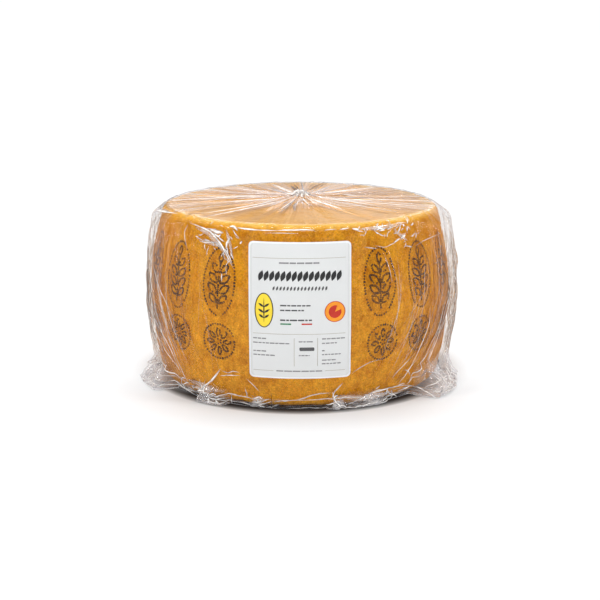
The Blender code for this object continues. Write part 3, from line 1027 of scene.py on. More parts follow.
def film_surface(azimuth, arc):
    """Points of the film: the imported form, and relief along the outward direction of the outline."""
    radius, height, out, up, turned, on_head, on_side, loose, pouch = film_fields(azimuth, arc)
    stand_off = np.maximum(loose_film_radius(azimuth, height) - radius, 0) + side_folds(azimuth, height)
    wide = radius + unevenness(azimuth, height - FILM_TIGHT) * on_side + np.maximum(loose * stand_off, pouch)
    relief = head_rays(azimuth, radius) * on_head
    relief += rim_tugs(azimuth, arc - HEAD_EDGE - 0.010)
    relief += upright_folds(azimuth, height) * (0.04 + 0.96 * loose) * on_side
    relief += (0.00018 + 0.0009 * loose) * crumple(turned, 0.018, 0.050, 5, 31) * on_side
    relief += POUCH_CRUMPLE * smooth_step(pouch, 0.002, 0.015) * crumple(turned, 0.009, 0.026, 4, 32)
    lump = foot_lumps(azimuth, height) * ~on_head
    relief += lump * (0.6 + 0.7 * crumple(turned, 0.006, 0.014, 4, 33))
    hem_line = HEM_HEIGHT + 0.0016 * np.sin(3 * azimuth + 1) + 0.0010 * np.sin(11 * azimuth)
    relief += HEM_FOLD * tent((height - hem_line) / 0.0035) * ~on_head
    relief += 0.0006 * crumple(turned, 0.007, 0.020, 4, 34) * (1 - smooth_step(height, 0.012, 0.030))
    relief = np.maximum(relief, -0.0008) * off_label(azimuth, height) * smooth_step(height, 0.0, 0.0035)
    wide = wide + relief * out
    inward = 1 - np.clip(radius / 0.17, 0, 1)
    level = height + relief * up + on_head * (knot_rise(radius) + pleats(azimuth, radius))
    back = KNOT_BACK * inward * on_head
    return around(wide, azimuth, np.maximum(level, 0), back)


# %% [markdown]
# ## The film's finish
#
# Clear film does two things: it lets the light behind it through, and it mirrors the room, a little when
# seen face on and a lot when seen edge on. So the material mixes a Transparent and a Glossy shader by how
# edge-on the film is, which Layer Weight gives. The transparent part is a little darker edge on. It has a
# warm painted shade, in the rind's colour, in streaks where the film hangs slack, and a dark painted shade
# in folds. Where many layers are gathered the mirror is stronger and a thin milky veil is added; on the head
# the veil is also a painted sheen, stronger behind and at the two sides. The veil covers white folds too,
# where it is partly a painted highlight. Fine creases that are too small for the mesh are a bump: streaks
# that run along the folds, and facets where the film is crumpled.

# %% The film's material
FILM_MIRROR = 0.016  # how much it mirrors face on
FILM_CLEAR_TINT = (0.988, 0.986, 0.984, 1)  # face on
FILM_EDGE_TINT = (0.905, 0.895, 0.890, 1)  # edge on
FILM_WARM_SHADE = (0.80, 0.635, 0.45, 1)  # warm painted shade in streaks where it is slack
FILM_PAINTED_SHADE = (0.12, 0.10, 0.12, 1)  # painted shade in dark folds and along the foot
FILM_SHINE = (1.0, 0.975, 0.985, 1)
FILM_VEIL = (0.90, 0.890, 0.910, 1)  # over gathered layers, and a painted sheen on the head
FILM_FOLD_GLINT = (1.0, 0.97, 0.94, 1)  # over white folds, partly a painted highlight


def film_bump(tree, place, streak_way):
    """Normals from streaks along the folds where the film is slack, facets where it is crumpled, and a faint
    ripple everywhere."""
    streaks = mottle(tree, streak_way, 0.009, 2.0)
    ridged = maths(tree, "ABSOLUTE", maths(tree, "SUBTRACT", streaks, 0.5))
    inputs = {"Vector": place, "Scale": 95.0}
    facets = add_node(tree, "ShaderNodeTexVoronoi", inputs, feature="SMOOTH_F1")
    facets.inputs["Smoothness"].default_value = 0.25
    faceted = maths(tree, "MULTIPLY", stored(tree, "crumpled"), 2.0)
    height = maths(tree, "MULTIPLY", ridged, maths(tree, "MULTIPLY_ADD", stored(tree, "slack"), 1.6, 0.10))
    height = maths(tree, "MULTIPLY_ADD", facets.outputs["Distance"], faceted, height)
    height = maths(tree, "MULTIPLY_ADD", mottle(tree, place, 0.020, 1.0), 0.5, height)
    inputs = {"Height": height, "Distance": 0.0011, "Strength": 1.0}
    return add_node(tree, "ShaderNodeBump", inputs).outputs[0]


def film_tint_and_painted_shade(tree, streak_way, edge_on):
    """The colour that the film gives to what is behind it: edge tint by the fourth power of how edge-on it
    is, warm painted shade by slackness times fine streaks, and dark painted shade where a fold's whiteness
    is below 0."""
    crumpled = stored(tree, "crumpled")
    fold_highlight_and_shade = stored(tree, "fold_highlight_and_shade")
    dimmed = maths(tree, "POWER", edge_on, 4.0)
    dimmed = maths(tree, "MULTIPLY", dimmed, between(tree, fold_highlight_and_shade, 0.0, 1.0, 1.0, 0.2))
    dimmed = maths(tree, "MULTIPLY", dimmed, between(tree, crumpled, 0.0, 1.0, 1.0, 0.2))
    tint = mixed(tree, dimmed, FILM_CLEAR_TINT, FILM_EDGE_TINT)
    # Warm painted shade in streaks where the film hangs slack.
    warm_shade = maths(tree, "MULTIPLY", stored(tree, "slack"), mottle(tree, streak_way, 0.0045, 3.2))
    warm_shade = maths(tree, "MULTIPLY", warm_shade, between(tree, edge_on, 0.36, 0.60, 1.0, 0.0))
    warm_shade = maths(tree, "MULTIPLY", warm_shade, maths(tree, "SUBTRACT", 1.0, crumpled))
    tint = mixed(tree, warm_shade, tint, FILM_WARM_SHADE)
    # Painted shade where a fold's whiteness is below 0.
    return mixed(tree, between(tree, fold_highlight_and_shade, -1.0, 0.0, 1.0, 0.0), tint, FILM_PAINTED_SHADE)


def make_clear_film():
    """Tinted and clear, then mirror by a power of how edge-on the film is, then veil. Gathered layers, which
    on the head carry a painted sheen, soften the power, lift the mirror face on and thicken the veil, and
    folds are veiled by their whiteness, partly as painted highlights."""
    made, tree, output = new_material("clear_film")
    place = object_place(tree)
    run = add_node(tree, "ShaderNodeAttribute", None, attribute_name="fold_run").outputs["Vector"]
    streak_way = stretched(tree, run, (1, 1, 0.06))
    bump = film_bump(tree, place, streak_way)
    edge_on = add_node(tree, "ShaderNodeLayerWeight", {"Blend": 0.5, "Normal": bump}).outputs["Facing"]
    bands = between(tree, mottle(tree, streak_way, 0.026, 3.6), 0.0, 1.0, 0.10, 2.0)
    layers_and_sheen = maths(tree, "MULTIPLY", stored(tree, "gathered_and_sheen"), bands)
    sharpness = maths(tree, "MULTIPLY_ADD", layers_and_sheen, -2.0, 6.0)
    rise = maths(tree, "POWER", edge_on, maths(tree, "MAXIMUM", sharpness, 2.0))
    base = maths(tree, "MULTIPLY_ADD", layers_and_sheen, 0.08, FILM_MIRROR)
    mirror = maths(tree, "MULTIPLY_ADD", rise, maths(tree, "SUBTRACT", 1.0, base), base, clamp=True)
    clear = add_node(tree, "ShaderNodeBsdfTransparent", {"Color": film_tint_and_painted_shade(tree, streak_way, edge_on)})
    inputs = {"Color": FILM_SHINE, "Roughness": 0.085, "Normal": bump}
    shine = add_node(tree, "ShaderNodeBsdfGlossy", inputs)
    fold_highlight_and_shade = stored(tree, "fold_highlight_and_shade")
    veil_colour = mixed(tree, between(tree, fold_highlight_and_shade, 0.0, 0.2), FILM_VEIL, FILM_FOLD_GLINT)
    veil = add_node(tree, "ShaderNodeBsdfDiffuse", {"Color": veil_colour, "Normal": bump})
    # The veil over white folds is partly a painted highlight, broken up in patches.
    broken = between(tree, mottle(tree, place, 0.010, 2.6), 0.0, 1.0, 0.60, 1.50)
    fold_glint = maths(tree, "MULTIPLY", fold_highlight_and_shade, broken, clamp=True)
    veil_and_glint = maths(tree, "MAXIMUM", maths(tree, "MULTIPLY", layers_and_sheen, 0.22), fold_glint)
    cover = blended(tree, veil_and_glint, blended(tree, mirror, clear, shine), veil)
    tree.links.new(cover.outputs[0], output.inputs[0])
    return made


clear_film = make_clear_film()
print("film material has", len(clear_film.node_tree.nodes), "nodes")

# %% The film's mesh and its stored values
FILM_COLUMNS = 600
film_end = FILM_OUTLINE[0][-1]
film_marks = [KNOT_HOLE, 0.03, HEAD_EDGE, HEAD_EDGE + 0.0212, float(arc_at_height(FILM_OUTLINE, 0.032))]
film_marks += [film_end - SKIRT_RADIUS + SKIRT_ROUND, film_end - 0.01]
film_arcs = spaced(film_marks, [10, 26, 9, 84, 26, 6])
film_turns = np.linspace(-math.pi, math.pi, FILM_COLUMNS, endpoint=False)
film_turn_grid, film_arc_grid = np.meshgrid(film_turns, film_arcs)


def store_film_values(piece, azimuth, arc):
    """Slack, crumpled, and gathered layers that on the head also carry a painted sheen, as numbers, and
    fold_run as a vector: the azimuth less the sweep as a place on a circle, and the arc length. A pattern on
    it runs along the folds and closes all round."""
    radius, height, _, _, _, on_head, _, loose, pouch = film_fields(azimuth, arc)
    lumped = smooth_step(foot_lumps(azimuth, height), 0.0005, 0.003)
    pouched = np.maximum(smooth_step(pouch, 0.001, 0.015), lumped)
    near_knot = 1 - smooth_step(radius, 0.01, 0.15)
    behind = smooth_step(np.sin(azimuth), -0.75, 0.5)
    clear = off_label(azimuth, height)
    slack = np.maximum(loose, on_head * np.maximum(behind, near_knot) * 0.35)
    set_values(piece, "slack", slack * clear)
    set_values(piece, "crumpled", pouched * 0.9 * ~on_head)
    # On the head the veil is also a painted sheen, stronger behind and at the two sides.
    aside = np.abs(np.cos(azimuth)) ** 3 * smooth_step(radius, 0.10, 0.175)
    on_top = np.clip(0.06 + 0.20 * near_knot + 0.32 * behind + 0.35 * aside, 0, 1)
    gathered_and_sheen = np.where(on_head, on_top, 0.10 * loose + 0.85 * pouched)
    gathered_and_sheen = gathered_and_sheen + 0.30 * np.exp(-((radius / 0.040) ** 2))
    set_values(piece, "gathered_and_sheen", np.clip(gathered_and_sheen * clear, 0, 1))
    swept = azimuth - sweep(azimuth, height)
    set_values(piece, "fold_run", around(BELLY_RADIUS, swept, arc), "FLOAT_VECTOR", "vector")


film = add_piece("film", *rings_closed(film_surface(film_turn_grid, film_arc_grid)), clear_film)
store_film_values(film, film_turn_grid, film_arc_grid)
print("film:", len(film.data.polygons), "faces")

# %% [markdown]
# ## Creases
#
# What the eye sees of clear film is mostly its creases: thin doubled folds that catch a lamp along their
# whole length. The mesh of the film is too coarse for lines one or two millimetres wide, so each crease is
# its own slender closed strip, a low tent that lies on the film along a smooth path and tapers at both ends.
# The paths come in families: many that are placed one by one, clusters where the film is pinched or
# crumpled, uprights in the slack film, rays on the head, hems round the foot and tucks at the knot. A
# doubled fold is milky, and partly a painted highlight, with a whiteness up to 1, and the broad ones with a
# low whiteness are painted soft sheens. Some are dark instead, as painted shade, and their whiteness is
# below 0.

# %% Paths of the creases
PATH_POINTS = 36
crease_rng = np.random.default_rng(8)
crease_turns, crease_arcs, crease_sizes = [], [], []


def add_crease(azimuths, arcs, width, rise, whiteness):
    """Keep one crease: arrays of azimuth and arc length, its greatest half width and height, and its
    whiteness, from 1 for milky and partly a painted highlight, through 0 for clear, to -1 for painted shade."""
    crease_turns.append(azimuths)
    crease_arcs.append(arcs)
    crease_sizes.append((width, rise, whiteness))


def smooth_path(values):
    """Values at even steps from the first given one to the last. Each is then averaged with its neighbours,
    a quarter, a half and a quarter, six times over, which rounds the corners."""
    values = np.asarray(values, float)
    place = np.linspace(0, len(values) - 1, PATH_POINTS)
    straight = np.interp(place, np.arange(len(values)), values)
    kernel = np.array([0.25, 0.5, 0.25])
    for _ in range(6):
        straight[1:-1] = np.convolve(straight, kernel, "valid")
    return straight


# %% Creases placed one by one
PLACED = [  # azimuth in degrees and height in millimetres; then half width and rise in mm, and whiteness: high for painted highlights, low on broad painted sheens, below 0 for painted shade
    ([(-138, 233), (-132, 231), (-126, 227), (-120, 212), (-117, 198), (-114, 183)], 1.2, 0.7, 0.95),
    ([(-134, 229), (-127, 225), (-121, 212), (-118, 200)], 3.4, 0.7, 0.30),
    ([(-131, 214), (-125, 213), (-119, 209)], 2.8, 0.7, 0.26),
    ([(-119, 232), (-117, 216), (-115, 200)], 2.4, 0.7, 0.28),
    ([(-68, 233.5), (-58, 232.5), (-47, 233)], 2.6, 0.7, 0.30),
    ([(-52, 230), (-49, 220), (-46, 212)], 2.6, 0.7, 0.26),
    ([(-138, 20), (-128, 19), (-118, 19)], 5.0, 0.9, 0.22),
    ([(-78, 17), (-66, 13), (-52, 12)], 4.5, 0.9, 0.22),
    ([(-176, 229), (-166, 234.5), (-157, 237.5)], 3.4, 0.7, 0.30),
    ([(-179, 226), (-172, 231), (-164, 234.5), (-156, 237.2), (-149, 238.5)], 1.5, 0.8, 0.75),
    ([(-127, 230), (-123, 227), (-120, 227)], 2.4, 0.9, 0.85),
    ([(-125, 225.5), (-122, 221.5), (-121, 225)], 1.5, 0.8, 0.85),
    ([(-123, 224), (-121, 219), (-119, 216)], 1.3, 0.7, 0.60),
    ([(-117, 221), (-118, 215), (-118, 208)], 1.7, 0.9, 0.92),
    ([(-120, 209), (-118, 206), (-116, 197), (-115, 190)], 0.8, 0.6, 0.85),
    ([(-118, 235), (-116, 236), (-114, 231)], 1.6, 0.8, 0.85),
    ([(-116, 232), (-115, 227), (-113, 222)], 0.9, 0.6, 0.60),
    ([(-115, 235), (-110, 234), (-105, 233.5)], 1.2, 0.4, 0.85),
    ([(-108, 233.8), (-103, 233.5), (-98, 234.2)], 0.8, 0.4, 0.80),
    ([(-99, 233.8), (-94, 234.8), (-88, 235.2), (-84, 234.6)], 1.3, 0.4, 0.85),
    ([(-81, 234.2), (-79, 235), (-76, 234.8)], 0.8, 0.4, 0.65),
    ([(-75, 234.6), (-73, 235), (-71, 235.6)], 1.1, 0.4, 0.80),
    ([(-104, 230.5), (-97, 231.2), (-90, 230.8)], 0.7, 0.3, 0.35),
    ([(-42.5, 13), (-42, 11), (-41, 3), (-39.5, 0.5)], 1.2, 1.0, 0.95),
    ([(-42, 11), (-40.5, 18), (-36.5, 22), (-29, 22)], 0.8, 0.7, 0.65),
    ([(-41.5, 10), (-39.5, 9), (-33.5, 9), (-26.5, 9)], 0.8, 0.7, 0.65),
    ([(-39.5, 32), (-34.5, 28), (-27, 30)], 0.7, 0.6, 0.50),
    ([(-37, 20), (-37, 7), (-39, 0.5)], 0.8, 0.7, 0.65),
    ([(-31, 20), (-29, 10), (-30, 1)], 0.7, 0.7, 0.60),
    ([(-25, 24), (-24, 12), (-26, 2)], 0.7, 0.7, 0.60),
    ([(-50.5, 10), (-45.5, 12), (-42.5, 13)], 1.0, 0.8, 0.90),
    ([(-58, 3), (-53.5, 2), (-50.5, 10)], 0.9, 0.8, 0.85),
    ([(-78, 4), (-74.5, 1.5), (-68.5, 2), (-63.5, 4), (-58, 5)], 1.1, 0.8, 0.90),
    ([(-73, 1), (-68.5, 1), (-62, 1.2), (-51.5, 1)], 1.4, 0.5, -0.85),
    ([(-147.5, 11), (-146.5, 12), (-143, 6), (-137.5, 3), (-133, 1)], 1.1, 0.9, 0.90),
    ([(-153.5, 11), (-149.5, 9), (-148, 2)], 0.7, 0.7, 0.55),
    ([(-159.5, 10), (-152.5, 10), (-149, 2)], 0.7, 0.7, 0.55),
    ([(-154.5, 20), (-149, 15), (-147.5, 11)], 0.9, 0.8, 0.75),
    ([(-150, 4), (-148, 6), (-147.5, 11)], 0.8, 0.7, 0.60),
    ([(-162, 28), (-153.5, 26), (-148, 13)], 0.8, 0.7, 0.70),
    ([(-143, 1), (-137.5, 1), (-128.5, 2)], 1.4, 0.5, -0.85),
    ([(-125, 7), (-122, 4), (-120, 2)], 1.0, 0.9, 0.95),
    ([(-124, 12), (-120.5, 7), (-119.5, 2)], 0.9, 0.8, 0.85),
    ([(-137.5, 2), (-134, 1), (-127, 3)], 0.9, 0.8, 0.85),
    ([(-138, 232), (-139, 222), (-138, 212), (-136, 200)], 0.6, 0.5, 0.70),
    ([(-131, 213), (-127, 212), (-122, 215)], 0.8, 0.6, 0.60),
    ([(-129, 217), (-126, 215), (-124, 211)], 0.6, 0.5, 0.45),
    ([(-161, 175), (-157, 162), (-152, 143), (-149, 130), (-145, 118), (-141, 104)], 0.8, 0.6, 0.75),
    ([(-165, 117), (-161, 100), (-155, 88), (-149, 72), (-144, 50), (-141, 25)], 0.8, 0.7, 0.85),
    ([(-160, 72), (-153, 62), (-149, 50), (-144, 40), (-140, 24)], 0.7, 0.6, 0.70),
    ([(-165, 78), (-159, 66), (-155, 53), (-150, 43)], 0.7, 0.6, 0.60),
    ([(-160, 34), (-152, 27), (-145, 21), (-138, 15)], 1.0, 0.8, 0.85),
    ([(-158, 27), (-150, 21), (-143, 16)], 0.7, 0.6, 0.70),
    ([(-160, 177), (-156, 180), (-152, 179)], 0.6, 0.5, -0.35),
    ([(-148, 85), (-145, 66), (-142, 45), (-139, 20)], 0.6, 0.5, 0.45),
    ([(-142, 45), (-140, 29), (-138, 12)], 0.7, 0.5, 0.60),
    ([(-120, 49), (-123, 36), (-127, 21), (-131, 10)], 1.7, 1.2, 0.72),
    ([(-121, 38), (-117, 41), (-112, 43)], 0.8, 0.6, 0.75),
    ([(-120, 46), (-117, 44), (-115, 48), (-112, 47)], 0.7, 0.6, 0.60),
    ([(-131, 27), (-131, 20), (-130, 14)], 0.7, 0.6, 0.55),
    ([(-128, 29), (-128, 22), (-127, 17)], 0.6, 0.6, 0.50),
    ([(-125, 10), (-118, 15.5), (-110, 13.5), (-103, 10)], 1.0, 0.8, 0.75),
    ([(-137, 11), (-130, 14), (-124, 19)], 1.0, 0.9, 0.85),
    ([(-118, 4), (-112, 4.5), (-106, 2)], 0.8, 0.7, 0.80),
    ([(-119, 6), (-112, 7), (-106, 4)], 0.8, 0.6, -0.85),
    ([(-110, 40), (-107, 30), (-105, 22)], 0.7, 0.5, 0.55),
    ([(-108, 12), (-105, 16), (-103, 12)], 1.3, 1.1, 0.80),
    ([(-107, 6), (-104, 10), (-101, 14)], 1.2, 1.0, 0.75),
    ([(-107, 2), (-104, 5), (-100, 10)], 1.0, 0.9, 0.70),
    ([(-100, 9), (-96, 11), (-93, 12)], 1.1, 0.7, 0.60),
    ([(-97, 9), (-90, 15), (-83, 21.5), (-78, 22)], 0.9, 0.7, 0.60),
    ([(-94, 1), (-88, 2.5), (-82, 1.5), (-77, 3)], 0.8, 0.7, 0.70),
    ([(-101, 5), (-93, 4.5), (-86, 6), (-79, 4)], 0.9, 0.5, -0.85),
    ([(-78, 24), (-77.5, 13), (-75.5, 4), (-74, 0.5)], 1.2, 1.0, 0.92),
    ([(-78, 20), (-76, 27), (-74, 36)], 0.8, 0.6, 0.60),
    ([(-79, 12), (-77, 24), (-75, 33)], 0.7, 0.6, 0.50),
    ([(-77, 3), (-75, 5.5), (-72, 1)], 1.3, 1.0, 0.90),
    ([(-74, 3), (-69, 11), (-64, 16.5), (-57, 18), (-47, 16), (-40, 11)], 1.0, 0.8, 0.80),
    ([(-73, 2), (-68, 6), (-62, 11)], 1.2, 0.6, -0.90),
    ([(-66, 2), (-60, 4), (-53, 6), (-46, 7)], 0.8, 0.7, 0.85),
    ([(-66, 5), (-59, 8), (-52, 9.5)], 0.9, 0.5, -0.75),
    ([(-61, 1), (-57, 2.5), (-53, 1.5)], 1.4, 1.0, 0.90),
    ([(-72, 45), (-68, 54), (-64, 60), (-58, 62)], 0.7, 0.5, 0.40),
    ([(-39, 5), (-34, 3.5), (-29, 3), (-24, 5)], 1.2, 1.0, 0.90),
    ([(-54, 28), (-51, 39), (-47, 49), (-42, 60)], 0.7, 0.6, 0.55),
    ([(-50, 19), (-47, 28), (-45, 38), (-40, 54)], 0.8, 0.7, 0.70),
    ([(-44, 18), (-43, 30), (-38, 45), (-31, 62)], 0.8, 0.7, 0.65),
    ([(-36, 9), (-31, 17), (-24, 20)], 0.9, 0.8, 0.70),
    ([(-56, 18), (-54, 10), (-51, 4)], 1.1, 0.9, 0.80),
    ([(-64, 17), (-60, 19), (-56, 17)], 1.0, 0.8, 0.65),
    ([(-19, 122), (-23, 101), (-26, 86), (-30, 70)], 0.8, 0.6, 0.75),
    ([(-33, 205), (-33, 174), (-34, 150), (-33, 125), (-29, 101)], 0.7, 0.5, -0.40),
    ([(-36, 120), (-36, 99), (-38, 80), (-41, 62), (-46, 28)], 0.8, 0.7, 0.75),
    ([(-28, 96), (-29, 70), (-33, 48), (-37, 22)], 0.8, 0.7, 0.70),
    ([(-21, 86), (-23, 64), (-28, 46), (-33, 18)], 0.8, 0.7, 0.70),
    ([(-24, 214), (-20, 191), (-15, 158), (-11, 125), (-13, 75), (-20, 48)], 0.8, 0.6, 0.70),
    ([(-35, 174), (-29, 176), (-23, 172)], 0.6, 0.5, -0.40),
    ([(-70, 234.5), (-67, 232.5)], 1.7, 0.8, 0.92),
    ([(-60, 235), (-58, 232), (-56, 229)], 1.4, 0.8, 0.90),
    ([(-60, 230), (-57, 234)], 1.3, 0.7, 0.85),
    ([(-50.5, 222), (-49, 227), (-48, 233)], 1.1, 0.8, 0.88),
    ([(-52, 234), (-48, 235.5), (-44, 233.5)], 0.6, 0.5, 0.65),
    ([(-50, 236.5), (-47, 233), (-45, 229)], 0.6, 0.5, 0.60),
    ([(-62, 212), (-57, 207.5), (-52, 212), (-47, 220)], 0.6, 0.5, 0.50),
    ([(-53, 211), (-51, 214.5), (-49.5, 216.5)], 1.2, 0.7, 0.88),
    ([(-43, 203), (-38, 208), (-33, 210.5), (-24, 213)], 0.6, 0.5, 0.42),
    ([(-48, 207), (-46, 205), (-44, 203)], 1.1, 0.6, 0.50),
    ([(-25, 224), (-26, 212)], 0.8, 0.7, 0.80),
    ([(-66, 211), (-63, 209), (-60, 207)], 0.9, 0.6, 0.38),
    ([(-58, 203), (-56, 182), (-55, 160)], 0.6, 0.4, 0.35),
]
for places, width, rise, whiteness in PLACED:
    azimuths = smooth_path([math.radians(a) for a, _ in places])
    arcs = smooth_path(arc_at_height(FILM_OUTLINE, [h / 1000 for _, h in places]))
    add_crease(azimuths, arcs, width / 1000, rise / 1000, whiteness)
print(len(PLACED), "creases placed by hand")

# %% Clusters of short creases, some of the low ones dark as painted shade
# Azimuth in degrees, height, number of creases, spread across and up in metres, mean direction and its
# spread in degrees.
CLUSTERS = [
    (-124, 0.222, 22, 0.018, 0.009, -30, 40),
    (-117, 0.205, 12, 0.006, 0.014, 100, 25),
    (-58, 0.229, 22, 0.018, 0.005, 10, 40),
    (-47, 0.224, 20, 0.012, 0.010, 60, 40),
    (-130, 0.010, 34, 0.026, 0.006, 20, 50),
    (-121, 0.008, 14, 0.009, 0.006, -30, 50),
    (-104, 0.010, 12, 0.009, 0.006, 20, 50),
    (-76, 0.009, 12, 0.008, 0.008, 90, 50),
    (-57, 0.011, 18, 0.024, 0.007, 15, 40),
    (-30, 0.014, 56, 0.032, 0.010, 30, 60),
    (-156, 0.014, 48, 0.026, 0.009, 150, 60),
    (36, 0.022, 30, 0.034, 0.016, 60, 60),
    (88, 0.012, 18, 0.022, 0.008, 90, 60),
    (146, 0.022, 30, 0.032, 0.016, 120, 60),
    (62, 0.226, 14, 0.022, 0.009, 40, 60),
    (122, 0.222, 14, 0.022, 0.009, 120, 60),
    (10, 0.222, 12, 0.020, 0.010, 60, 60),
    (170, 0.222, 12, 0.020, 0.010, 120, 60),
]
for centre, height, count, wide, tall, mean, spread in CLUSTERS:
    for _ in range(count):
        angle = math.radians(crease_rng.normal(mean, spread))
        length = crease_rng.uniform(0.006, 0.022) * (0.6 if height > 0.1 else 1.0)
        t = np.linspace(-0.5, 0.5, PATH_POINTS)
        bend = crease_rng.normal(0, 0.10) * length * (1 - 4 * t**2)
        across = crease_rng.normal(0, wide) + length * t * math.cos(angle) - bend * math.sin(angle)
        above = crease_rng.normal(0, tall) + length * t * math.sin(angle) + bend * math.cos(angle)
        arcs = arc_at_height(FILM_OUTLINE, height) - above
        width, rise, whiteness = crease_rng.uniform((0.0005, 0.0004, 0.30), (0.0012, 0.0010, 0.90))
        # Some low creases are dark, as painted shade.
        if height < 0.05 and crease_rng.random() < 0.35:
            whiteness *= -0.7
        add_crease(math.radians(centre) + across / BELLY_RADIUS, arcs, width, rise, whiteness)
print(len(crease_turns), "creases placed or clustered")

# %% Uprights in the slack film, less white away from the two sides
SLACK_UPRIGHTS = 330

for _ in range(SLACK_UPRIGHTS):
    offset = np.clip(crease_rng.normal(0, math.radians(27)), -0.90, 0.90)
    centre = crease_rng.choice([0.0, math.pi]) + offset
    low = crease_rng.uniform(0.012, 0.10)
    high = min(low + crease_rng.uniform(0.05, 0.17), 0.236)
    heights = np.linspace(high, low, PATH_POINTS)
    t = np.linspace(-1, 1, PATH_POINTS)
    lean = crease_rng.normal(0, 0.04) * t + crease_rng.normal(0, 0.03) * t**2
    swing = crease_rng.uniform(0.7, 1.4)
    azimuths = centre + swing * sweep(centre, heights + 0.08 * (swing - 1.05)) + lean
    # A whiteness below 0 paints shade into the fold.
    width, rise, whiteness = crease_rng.uniform((0.0003, 0.0004, -0.40), (0.0008, 0.0010, 0.75))
    whiteness *= np.interp(abs(offset), [0.35, 0.80], [1.0, 0.30])
    add_crease(azimuths, arc_at_height(FILM_OUTLINE, heights), width, rise, whiteness)

print(SLACK_UPRIGHTS, "uprights")

# %% Rays on the head, shorter at the front and some of them dark as painted shade
HEAD_CREASES = 66

for centre in np.linspace(-math.pi, math.pi, HEAD_CREASES, endpoint=False):
    centre += crease_rng.normal(0, 0.05)
    start = crease_rng.uniform(0.008, 0.05)
    end = crease_rng.uniform(0.09, 0.215)
    if abs(turn(centre, FRONT)) < 0.7:
        end = crease_rng.uniform(0.05, 0.12)
    t = np.linspace(0, 1, PATH_POINTS)
    lean = crease_rng.normal(0, 0.05) * t**2
    arcs = start + (end - start) * t
    width, rise, whiteness = crease_rng.uniform((0.0009, 0.0005, 0.20), (0.0030, 0.0012, 0.80))
    if crease_rng.random() < 0.38:
        whiteness *= -0.60
    add_crease(centre + lean, arcs, width, rise, whiteness)

print(HEAD_CREASES, "rays")

# %% Hems round the foot: a painted shadow along the floor, clear in the pouches, and white ones above it
PAINTED_SHADOW_HEMS = 40
HEMS = 14

for number in range(PAINTED_SHADOW_HEMS):
    centre = (number + crease_rng.uniform(0, 0.5)) * 2 * math.pi / PAINTED_SHADOW_HEMS
    t = np.linspace(-1, 1, PATH_POINTS)
    height = 0.0022 + 0.0008 * np.sin(4 * t + number)
    azimuths = centre + t * crease_rng.uniform(1.3, 1.9) * math.pi / PAINTED_SHADOW_HEMS
    pouched = min(1.0, float(foot_pouches(np.array(centre), 0.002)) / 0.010)
    add_crease(azimuths, arc_at_height(FILM_OUTLINE, height), 0.0022, 0.0005, pouched - 1.0)

for number in range(HEMS):
    centre = -math.pi + (number + crease_rng.uniform(0, 1)) * 2 * math.pi / HEMS
    t = np.linspace(-1, 1, PATH_POINTS)
    azimuths = centre + t * crease_rng.uniform(0.22, 0.42)
    level = crease_rng.choice([0.0020, 0.0070, 0.0135])
    height = level + 0.0014 * np.sin(3 * t + crease_rng.uniform(0, 6))
    arcs = arc_at_height(FILM_OUTLINE, np.maximum(height, 0.0012))
    sizes = crease_rng.uniform((0.0006, 0.0006, 0.15), (0.0010, 0.0012, 0.70))
    add_crease(azimuths, arcs, *sizes)

print(PAINTED_SHADOW_HEMS + HEMS, "hems")

# %% Tucks at the knot, every third one dark as painted shade
KNOT_TUCKS = 26

for number in range(KNOT_TUCKS):
    centre = (number + crease_rng.uniform(0, 1)) * 2 * math.pi / KNOT_TUCKS
    start, length = crease_rng.uniform((0.0040, 0.006), (0.0120, 0.016))
    t = np.linspace(0, 1, PATH_POINTS)
    arcs = start + length * t
    width, rise, whiteness = crease_rng.uniform((0.0008, 0.0010, 0.40), (0.0018, 0.0024, 0.85))
    if number % 3 == 0:
        whiteness *= -0.9
    add_crease(centre + crease_rng.normal(0, 0.25) * t, arcs, width, rise, whiteness)
print(len(crease_turns), "creases in all")


# %% Creases into strips
def crease_strips(azimuth, arc, width, rise):
    """Points and faces of slender closed strips. Along each path the film's own surface gives a point, the
    outward direction and the way across, and six corners stand round it: two on the film at the half width,
    two part of the way up, one at the crest and one underneath. Width and height follow a half sine."""
    middle = film_surface(azimuth, arc)
    along = np.gradient(middle, axis=1)
    along /= np.linalg.norm(along, axis=2, keepdims=True) + 1e-12
    step = 0.0012
    swing = step / 0.2  # about the same step, as an angle
    round_way = film_surface(azimuth + swing, arc) - film_surface(azimuth - swing, arc)
    down_way = film_surface(azimuth, arc + step) - film_surface(azimuth, arc - step)
    outward = np.cross(down_way, round_way)
    outward /= np.linalg.norm(outward, axis=2, keepdims=True) + 1e-12
    across = np.cross(outward, along)
    across /= np.linalg.norm(across, axis=2, keepdims=True) + 1e-12
    taper = np.sin(np.linspace(0.04, math.pi - 0.04, azimuth.shape[1]))[None, :, None, None] ** 0.7
    sideways = np.array([-1.0, -0.42, 0.0, 0.42, 1.0, 0.0])[None, None, :, None]
    upward = np.array([0.08, 0.60, 1.0, 0.60, 0.08, -0.05])[None, None, :, None]
    offset = across[:, :, None, :] * sideways * width[:, None, None, None] * taper
    lift = outward[:, :, None, :] * (upward * rise[:, None, None, None] * taper + 0.00012)
    points = middle[:, :, None, :] + offset + lift
    strips, steps, corners = points.shape[:3]
    number = np.arange(strips * steps * corners).reshape(strips, steps, corners)
    after = np.roll(number, -1, axis=2)
    quads = np.stack([number[:, :-1], number[:, 1:], after[:, 1:], after[:, :-1]], axis=-1).reshape(-1, 4)
    ends = number[:, 0].tolist() + number[:, -1, ::-1].tolist()
    return points, quads.tolist() + ends


# %% The creases as three pieces
CREASES_A_PIECE = 400  # each piece then stays under 200,000 triangles

